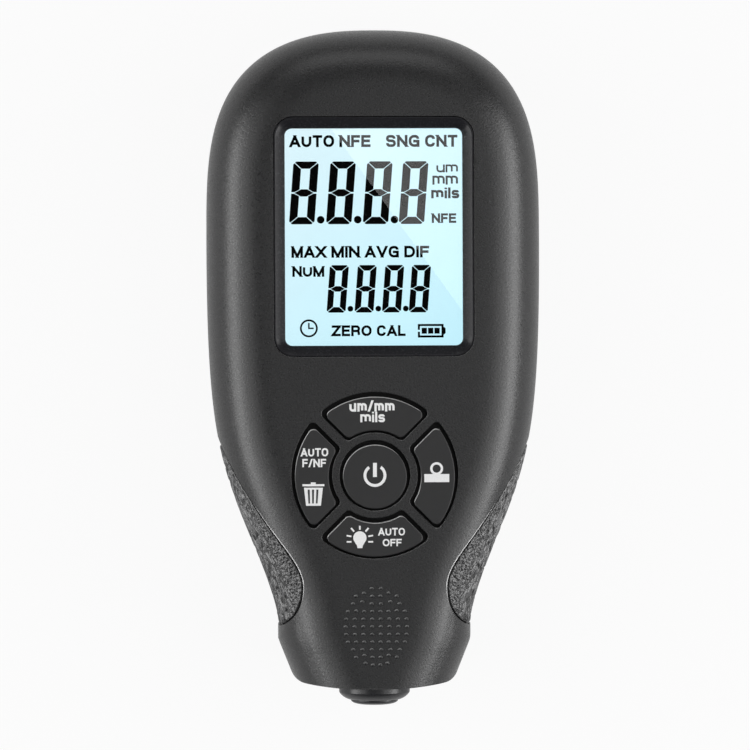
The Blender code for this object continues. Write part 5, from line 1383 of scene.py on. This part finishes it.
def display_marks():
    """Words, segments and symbols of the display."""
    marks = word_marks(DISPLAY_WORDS, DISPLAY_WEIGHT)
    for lefts, digit, (point_x, point_y, radius) in DIGIT_ROWS:
        for left in lefts:
            marks += [[shape] for shape in digit_segments(left, *digit)]
        for left in lefts[:3]:
            marks.append([circle((left + point_x, point_y), radius, 24)])
    x, y, h = *CLOCK, CLOCK_HAND
    marks.append([circle(CLOCK, CLOCK_RADIUS, 48), circle(CLOCK, CLOCK_INNER, 48)])
    marks.append([[(x - h, y - h), (x + 0.8, y - h), (x + 0.8, y + h), (x + h, y + h),
                   (x + h, y + 0.9), (x - h, y + 0.9)]])
    marks += [[BATTERY_FRAME], [BATTERY_TIP]]
    for i in range(3):
        marks.append([bar(7.98 + i * 1.07, 8.86 + i * 1.07, -16.14, -15.15)])
    return marks


def bin_marks():
    """The symbol for deleting: a bin with its lid and handle."""
    can = [(-11.8, -1.98), (-8.65, -1.98), (-9.0, -4.98), (-11.45, -4.98)]
    slots = [[(-11.18 + i * 0.72, -2.3), (-10.83 + i * 0.72, -2.3), (-10.79 + i * 0.62, -4.6),
              (-11.07 + i * 0.62, -4.6)] for i in range(3)]
    return [[bar(-12.05, -8.4, -1.75, -1.4)], [bar(-10.65, -9.85, -1.4, -1.1)], [can] + slots]


def power_marks():
    """The symbol for power: an open ring and a bar."""
    start, end = math.radians(125), math.radians(415)
    ring = arc((0.0, 0.0), 1.9, start, end, 60) + arc((0.0, 0.0), 1.42, end, start, 60)
    return [[ring], [bar(-0.32, 0.32, -0.25, 2.1)]]


def zero_marks():
    """The symbol for setting zero: a ring on a plate."""
    centre = (10.25, 1.1)
    return [[circle(centre, 1.07, 40), circle(centre, 0.68, 40)],
            [bar(8.2, 12.35, -1.15, 0.2)]]


def lamp_marks():
    """The symbol for the backlight: a bulb with its rays."""
    x = LAMP[0]
    bulb = arc(LAMP, 1.1, math.radians(-40), math.radians(220), 30)
    bulb += [(-3.05, -11.6), (-2.95, -12.05), (-2.15, -12.05), (-2.05, -11.6)]
    marks = [[bulb], [stroke((x, -9.0), (x, -8.35), 0.28)]]
    for side in (1, -1):
        marks += [[stroke((x + side * 0.95, -9.3), (x + side * 1.45, -8.7), 0.28)],
                  [stroke((x + side * 1.4, -10.1), (x + side * 2.2, -9.95), 0.26)],
                  [stroke((x + side * 1.4, -11.0), (x + side * 2.2, -11.0), 0.26)]]
    return marks


def key_marks(node):
    """The print on one key: words and symbols that say what it does."""
    words = word_marks(KEY_WORDS.get(node, ()), KEY_WEIGHT)
    if node == "key_mode":
        return words + bin_marks()
    if node == "key_light":
        return lamp_marks() + words
    if node == "key_power":
        return power_marks()
    if node == "key_zero":
        return zero_marks()
    return words


def nose_profile(radius, reach, length, tip, shape):
    """A rounded end of a turned piece, from its face out to its side."""
    points = []
    for i in range(NOSE_STEPS + 1):
        angle = math.pi / 2 * i / NOSE_STEPS
        out = max(math.sin(angle), 0.0) ** shape
        back = 1 - max(math.cos(angle), 0.0) ** shape
        points.append((radius - reach * (1 - out), tip + length * back))
    return points


def collar_sleeve():
    """The collar with a smooth nose."""
    low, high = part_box("probe_collar")
    tip, flange, end = low[1], high[0], high[1]
    seat = CHIN_Y + END_WALL + FIT
    profile = [(COLLAR_BORE, tip + COLLAR_NOSE_START)]
    profile += nose_profile(COLLAR_RADIUS, COLLAR_RADIUS - COLLAR_NOSE_RADIUS,
                            COLLAR_NOSE_LENGTH, tip, COLLAR_NOSE_SHAPE)
    profile += [(COLLAR_RADIUS, seat), (flange, seat), (flange, seat + COLLAR_FLANGE),
                (COLLAR_RADIUS, seat + COLLAR_FLANGE), (COLLAR_RADIUS, end), (SPRING_BORE, end),
                (SPRING_BORE, tip + COLLAR_LIP), (COLLAR_BORE, tip + COLLAR_LIP)]
    return turned_mesh("collar_sleeve", profile, (0.0, PARTING_Z))


def probe_barrel():
    """The sliding barrel with a smooth domed end."""
    low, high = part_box("probe_body")
    tip, end = low[1], high[1]
    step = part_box("probe_collar")[0][1] + COLLAR_LIP + FIT
    profile = [(POLE_BORE, tip)]
    profile += nose_profile(PROBE_RADIUS, PROBE_EDGE, PROBE_EDGE_LENGTH, tip, 1.0)
    profile += [(PROBE_RADIUS, step), (BARREL_FLANGE_RADIUS, step),
                (BARREL_FLANGE_RADIUS, step + BARREL_FLANGE),
                (BARREL_TAIL_RADIUS, step + BARREL_FLANGE), (BARREL_TAIL_RADIUS, end),
                (BARREL_BORE, end), (BARREL_BORE, tip + BARREL_END), (POLE_BORE, tip + BARREL_END)]
    return turned_mesh("probe_barrel", profile, (0.0, PARTING_Z))


# Operators

class GAUGE_OT_case(bpy.types.Operator):
    """Build the front moulding with its thumb pad, and finish the rear moulding"""
    bl_idname = "gauge.case"
    bl_label = "Case"

    def execute(self, context):
        plastic = moulded_plastic("Housing plastic", colours().housing, 0.29, grain=0.3 * MM,
                                  depth=0.045 * MM, mottle=0.25, specular=0.55)
        # Painted highlight: the upper-left sides of the pips and of the hole rims are lightened
        paint_face_highlight_and_shade(plastic, (0.3, 0.3, 0.3), 0.5)
        add_piece("front_moulding", front_moulding(), plastic, "housing",
                  ("front_case",))
        add_piece("thumb_pips", thumb_pad(), plastic, "housing")
        add_piece("rear_skin", rear_skin(), plastic, "housing")
        finish_node("rear_case", plastic)
        finish_node("battery_door", plastic)
        return {'FINISHED'}


class GAUGE_OT_grips(bpy.types.Operator):
    """Build the two leather-grained side grips"""
    bl_idname = "gauge.grips"
    bl_label = "Side grips"

    def execute(self, context):
        rubber = leather_rubber("Grip rubber", colours().grip)
        # The beads are pale grey: a painted highlight along the pocket rims
        rim = moulded_plastic("Rim highlight paint", (0.65, 0.65, 0.65), 0.35)
        add_piece("pocket_beads", pocket_beads(), rim, "housing")
        for node, side in (("grip_right", 1), ("grip_left", -1)):
            add_piece(node + "_skin", grip_skin(node + "_skin", side), rubber, "housing",
                      (node,), crease=80.0)
        return {'FINISHED'}


class GAUGE_OT_display(bpy.types.Operator):
    """Build the bezel, the window and the display with its marks"""
    bl_idname = "gauge.display"
    bl_label = "Display"

    def execute(self, context):
        gloss = moulded_plastic("Bezel plastic", colours().bezel, 0.24, grain=0.4 * MM,
                                depth=0.001 * MM, mottle=0.05, specular=0.18)
        add_piece("bezel_frame", bezel_frame(), gloss, "housing", ("display_bezel",))
        finish_node("display_window", clear_window("Window plastic"))
        finish_node("lcd_glass", backlit_display("Backlit display glass"))
        ink = printed_ink("Display segments", colours().segment, 0.6, specular=0.0)
        mesh = printed("display_marks", display_marks(), DISPLAY_Y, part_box("lcd_glass")[1][2],
                       MARK_THICKNESS)
        add_piece("display_marks", mesh, ink, "housing")
        return {'FINISHED'}


class GAUGE_OT_keys(bpy.types.Operator):
    """Build the five keys with their print"""
    bl_idname = "gauge.keys"
    bl_label = "Keys"

    def execute(self, context):
        plastic = moulded_plastic("Key plastic", colours().key, 0.45, grain=0.2 * MM,
                                  depth=0.012 * MM, mottle=0.05, specular=0.35)
        # Painted highlight on the keys' upper-left top edges, and painted shade on their sides
        # deep in the holes
        paint_face_highlight_and_shade(plastic, (0.5, 0.5, 0.5), 0.8, well=(25.2 * MM, 26.6 * MM))
        ink = printed_ink("Key print", colours().legend)
        for node, body, direction in KEYS:
            add_piece(node + "_cap", key_cap(node, direction), plastic, body, (node,))
            mesh = printed(node + "_print", key_marks(node), KEYS_Y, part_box(node)[1][2],
                           sizes().ink_thickness)
            add_piece(node + "_print", mesh, ink, body)
        return {'FINISHED'}


class GAUGE_OT_probe(bpy.types.Operator):
    """Build the probe's collar, barrel and pole"""
    bl_idname = "gauge.probe"
    bl_label = "Probe"

    def execute(self, context):
        dark = (0.014, 0.014, 0.016)
        texture = {"grain": 0.2 * MM, "depth": 0.003 * MM, "mottle": 0.05}
        collar = moulded_plastic("Collar plastic", dark, 0.3, **texture)
        barrel = moulded_plastic("Probe plastic", dark, 0.32, **texture)
        add_piece("collar_sleeve", collar_sleeve(), collar, "housing",
                  ("probe_collar",))
        add_piece("probe_barrel", probe_barrel(), barrel, "probe", ("probe_body",))
        finish_node("probe_pole", plated_metal("Pole steel", (0.55, 0.55, 0.56), 0.25))
        return {'FINISHED'}


class GAUGE_OT_inside(bpy.types.Operator):
    """Finish the pieces inside the case and the screws"""
    bl_idname = "gauge.inside"
    bl_label = "Inside"

    def execute(self, context):
        steel = plated_metal("Plated steel", (0.6, 0.6, 0.6), 0.3)
        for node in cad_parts:
            if node.startswith(("case_screw", "board_screw", "contact", "probe_spring")):
                finish_node(node, steel)
        copper = plated_metal("Enamelled copper", (0.7, 0.3, 0.15), 0.3, (1, 12, 1))
        finish_node("probe_coil", copper)
        plain = (
            ("circuit_board", "Board laminate", (0.02, 0.15, 0.05), 0.35),
            ("microcontroller", "Chip resin", (0.02, 0.02, 0.02), 0.5),
            ("lead_connector", "Socket nylon", (0.8, 0.78, 0.7), 0.45),
            ("backlight_panel", "Diffuser", (0.9, 0.93, 0.95), 0.4),
            ("lcd_carrier", "Carrier plastic", (0.75, 0.75, 0.73), 0.5),
            ("zebra_strip", "Contact rubber", (0.3, 0.3, 0.32), 0.6),
            ("keypad_mat", "Mat silicone", (0.25, 0.25, 0.26), 0.6),
            ("spring_seat", "Seat plastic", (0.04, 0.04, 0.04), 0.45),
            ("probe_lead", "Lead jacket", (0.03, 0.03, 0.03), 0.4),
            ("battery_left", "Cell jacket left", (0.1, 0.12, 0.16), 0.3),
            ("battery_right", "Cell jacket right", (0.1, 0.12, 0.16), 0.3))
        for node, name, rgb, roughness in plain:
            finish_node(node, moulded_plastic(name, rgb, roughness, 0.3 * MM, 0.005 * MM))
        return {'FINISHED'}


def softbox(name, centre, width, height, radiance):
    """A rectangular lamp of an even brightness that looks at the gauge."""
    lamp = bpy.data.lights.new(name, 'AREA')
    lamp.shape = 'RECTANGLE'
    lamp.size = width
    lamp.size_y = height
    lamp.energy = radiance * math.pi * width * height
    item = bpy.data.objects.new(name, lamp)
    bpy.context.scene.collection.objects.link(item)
    item.location = centre
    way = Vector(SUBJECT) - item.location
    item.rotation_euler = way.to_track_quat('-Z', 'Y').to_euler()
    return item


class GAUGE_OT_stage(bpy.types.Operator):
    """Set the floor, the lamps, the surroundings and the camera"""
    bl_idname = "gauge.stage"
    bl_label = "Studio"

    def execute(self, context):
        scene = context.scene
        scene.view_settings.view_transform = 'Standard'
        self.floor()
        self.surroundings(scene)
        for name, side, level in (("Left", -1, 1.12), ("Right", 1, 1.25)):
            softbox(name + " low box", (side * 0.45, -0.03, 0.2), 0.52, 0.22, 4.3 * level)
            softbox(name + " high box", (side * 0.32, -0.03, 0.4), 0.52, 0.23, 1.35 * level)
        softbox("Head box", (0.0, 0.55, 0.3), 0.5, 0.3, 1.2)
        softbox("Foot box", (0.0, -0.26, 0.8), 0.5, 0.36, 0.45)
        card = softbox("Overhead card", (0.1277, 0.1412, 1.0), 0.25, 0.4, 1.3)
        card.rotation_euler = (0.0, 0.0, math.radians(35.6))
        lens = bpy.data.cameras.new("Camera")
        lens.angle = CAMERA_ANGLE
        camera = bpy.data.objects.new("Camera", lens)
        scene.collection.objects.link(camera)
        camera.location = CAMERA_PLACE
        camera.rotation_euler = CAMERA_TURN
        scene.camera = camera
        return {'FINISHED'}

    def floor(self):
        """A pale floor that shows as white to the eye and keeps the gauge's shadow."""
        mesh = bpy.data.meshes.new("floor")
        far = FLOOR_REACH
        mesh.from_pydata([(-far, -far, 0), (far, -far, 0), (far, far, 0), (-far, far, 0)], [],
                         [(0, 1, 2, 3)])
        item = bpy.data.objects.new("floor", mesh)
        bpy.context.scene.collection.objects.link(item)
        item.location.z = -FLOOR_DROP
        material, tree, shader, place = new_material("Floor paper", colours().floor, 0.9,
                                                     specular=0.1)
        shade(tree, speckle(tree, place, 0.3), shader, colours().floor, 0.99, 1.01)
        glow = add_node(tree, "ShaderNodeEmission", strength=1.0)
        path = tree.nodes.new("ShaderNodeLightPath")
        seen = 0.0
        for ray, share in FLOOR_GLOW:
            seen = calculate(tree, 'MULTIPLY_ADD', path.outputs[ray], share, seen)
        split_rays(tree, seen, shader.outputs["BSDF"], glow.outputs["Emission"])
        mesh.materials.append(material)

    def surroundings(self, scene):
        """Pale round the horizon and dim overhead."""
        world = bpy.data.worlds.new("Studio")
        scene.world = world
        world.use_nodes = True
        tree = world.node_tree
        place = tree.nodes.new("ShaderNodeTexCoord").outputs["Generated"]
        split = tree.nodes.new("ShaderNodeSeparateXYZ")
        tree.links.new(place, split.inputs["Vector"])
        stops = [(position, tint((level, level, level))) for position, level in SKY_LEVELS]
        sky = colour_ramp(tree, split.outputs["Z"], stops)
        tree.links.new(sky, tree.nodes["Background"].inputs["Color"])


class GAUGE_PT_panel(bpy.types.Panel):
    """The gauge's pieces, in the order in which they are built"""
    bl_idname = "GAUGE_PT_panel"
    bl_label = "Coating Thickness Gauge"
    bl_space_type = 'VIEW_3D'
    bl_region_type = 'UI'
    bl_category = "Gauge"

    def draw(self, context):
        layout = self.layout
        for operator in PIECES:
            layout.operator(operator.bl_idname)
        for group in (context.scene.gauge_sizes, context.scene.gauge_colours):
            column = layout.column()
            for name in group.__annotations__:
                column.prop(group, name)


PIECES = (GAUGE_OT_case, GAUGE_OT_grips, GAUGE_OT_display, GAUGE_OT_keys, GAUGE_OT_probe,
          GAUGE_OT_inside, GAUGE_OT_stage)
CLASSES = (GaugeSizes, GaugeColours) + PIECES + (GAUGE_PT_panel,)


def register():
    """Register the classes and the scene's properties."""
    for item in CLASSES:
        bpy.utils.register_class(item)
    bpy.types.Scene.gauge_sizes = PointerProperty(type=GaugeSizes)
    bpy.types.Scene.gauge_colours = PointerProperty(type=GaugeColours)


def unregister():
    """Remove the scene's properties and the classes."""
    del bpy.types.Scene.gauge_sizes
    del bpy.types.Scene.gauge_colours
    for item in reversed(CLASSES):
        bpy.utils.unregister_class(item)


def main():
    """Register the classes and build every piece."""
    register()
    for operator in PIECES:
        name = operator.bl_idname.split(".")[1]
        getattr(bpy.ops.gauge, name)()


if __name__ == "__main__":
    main()
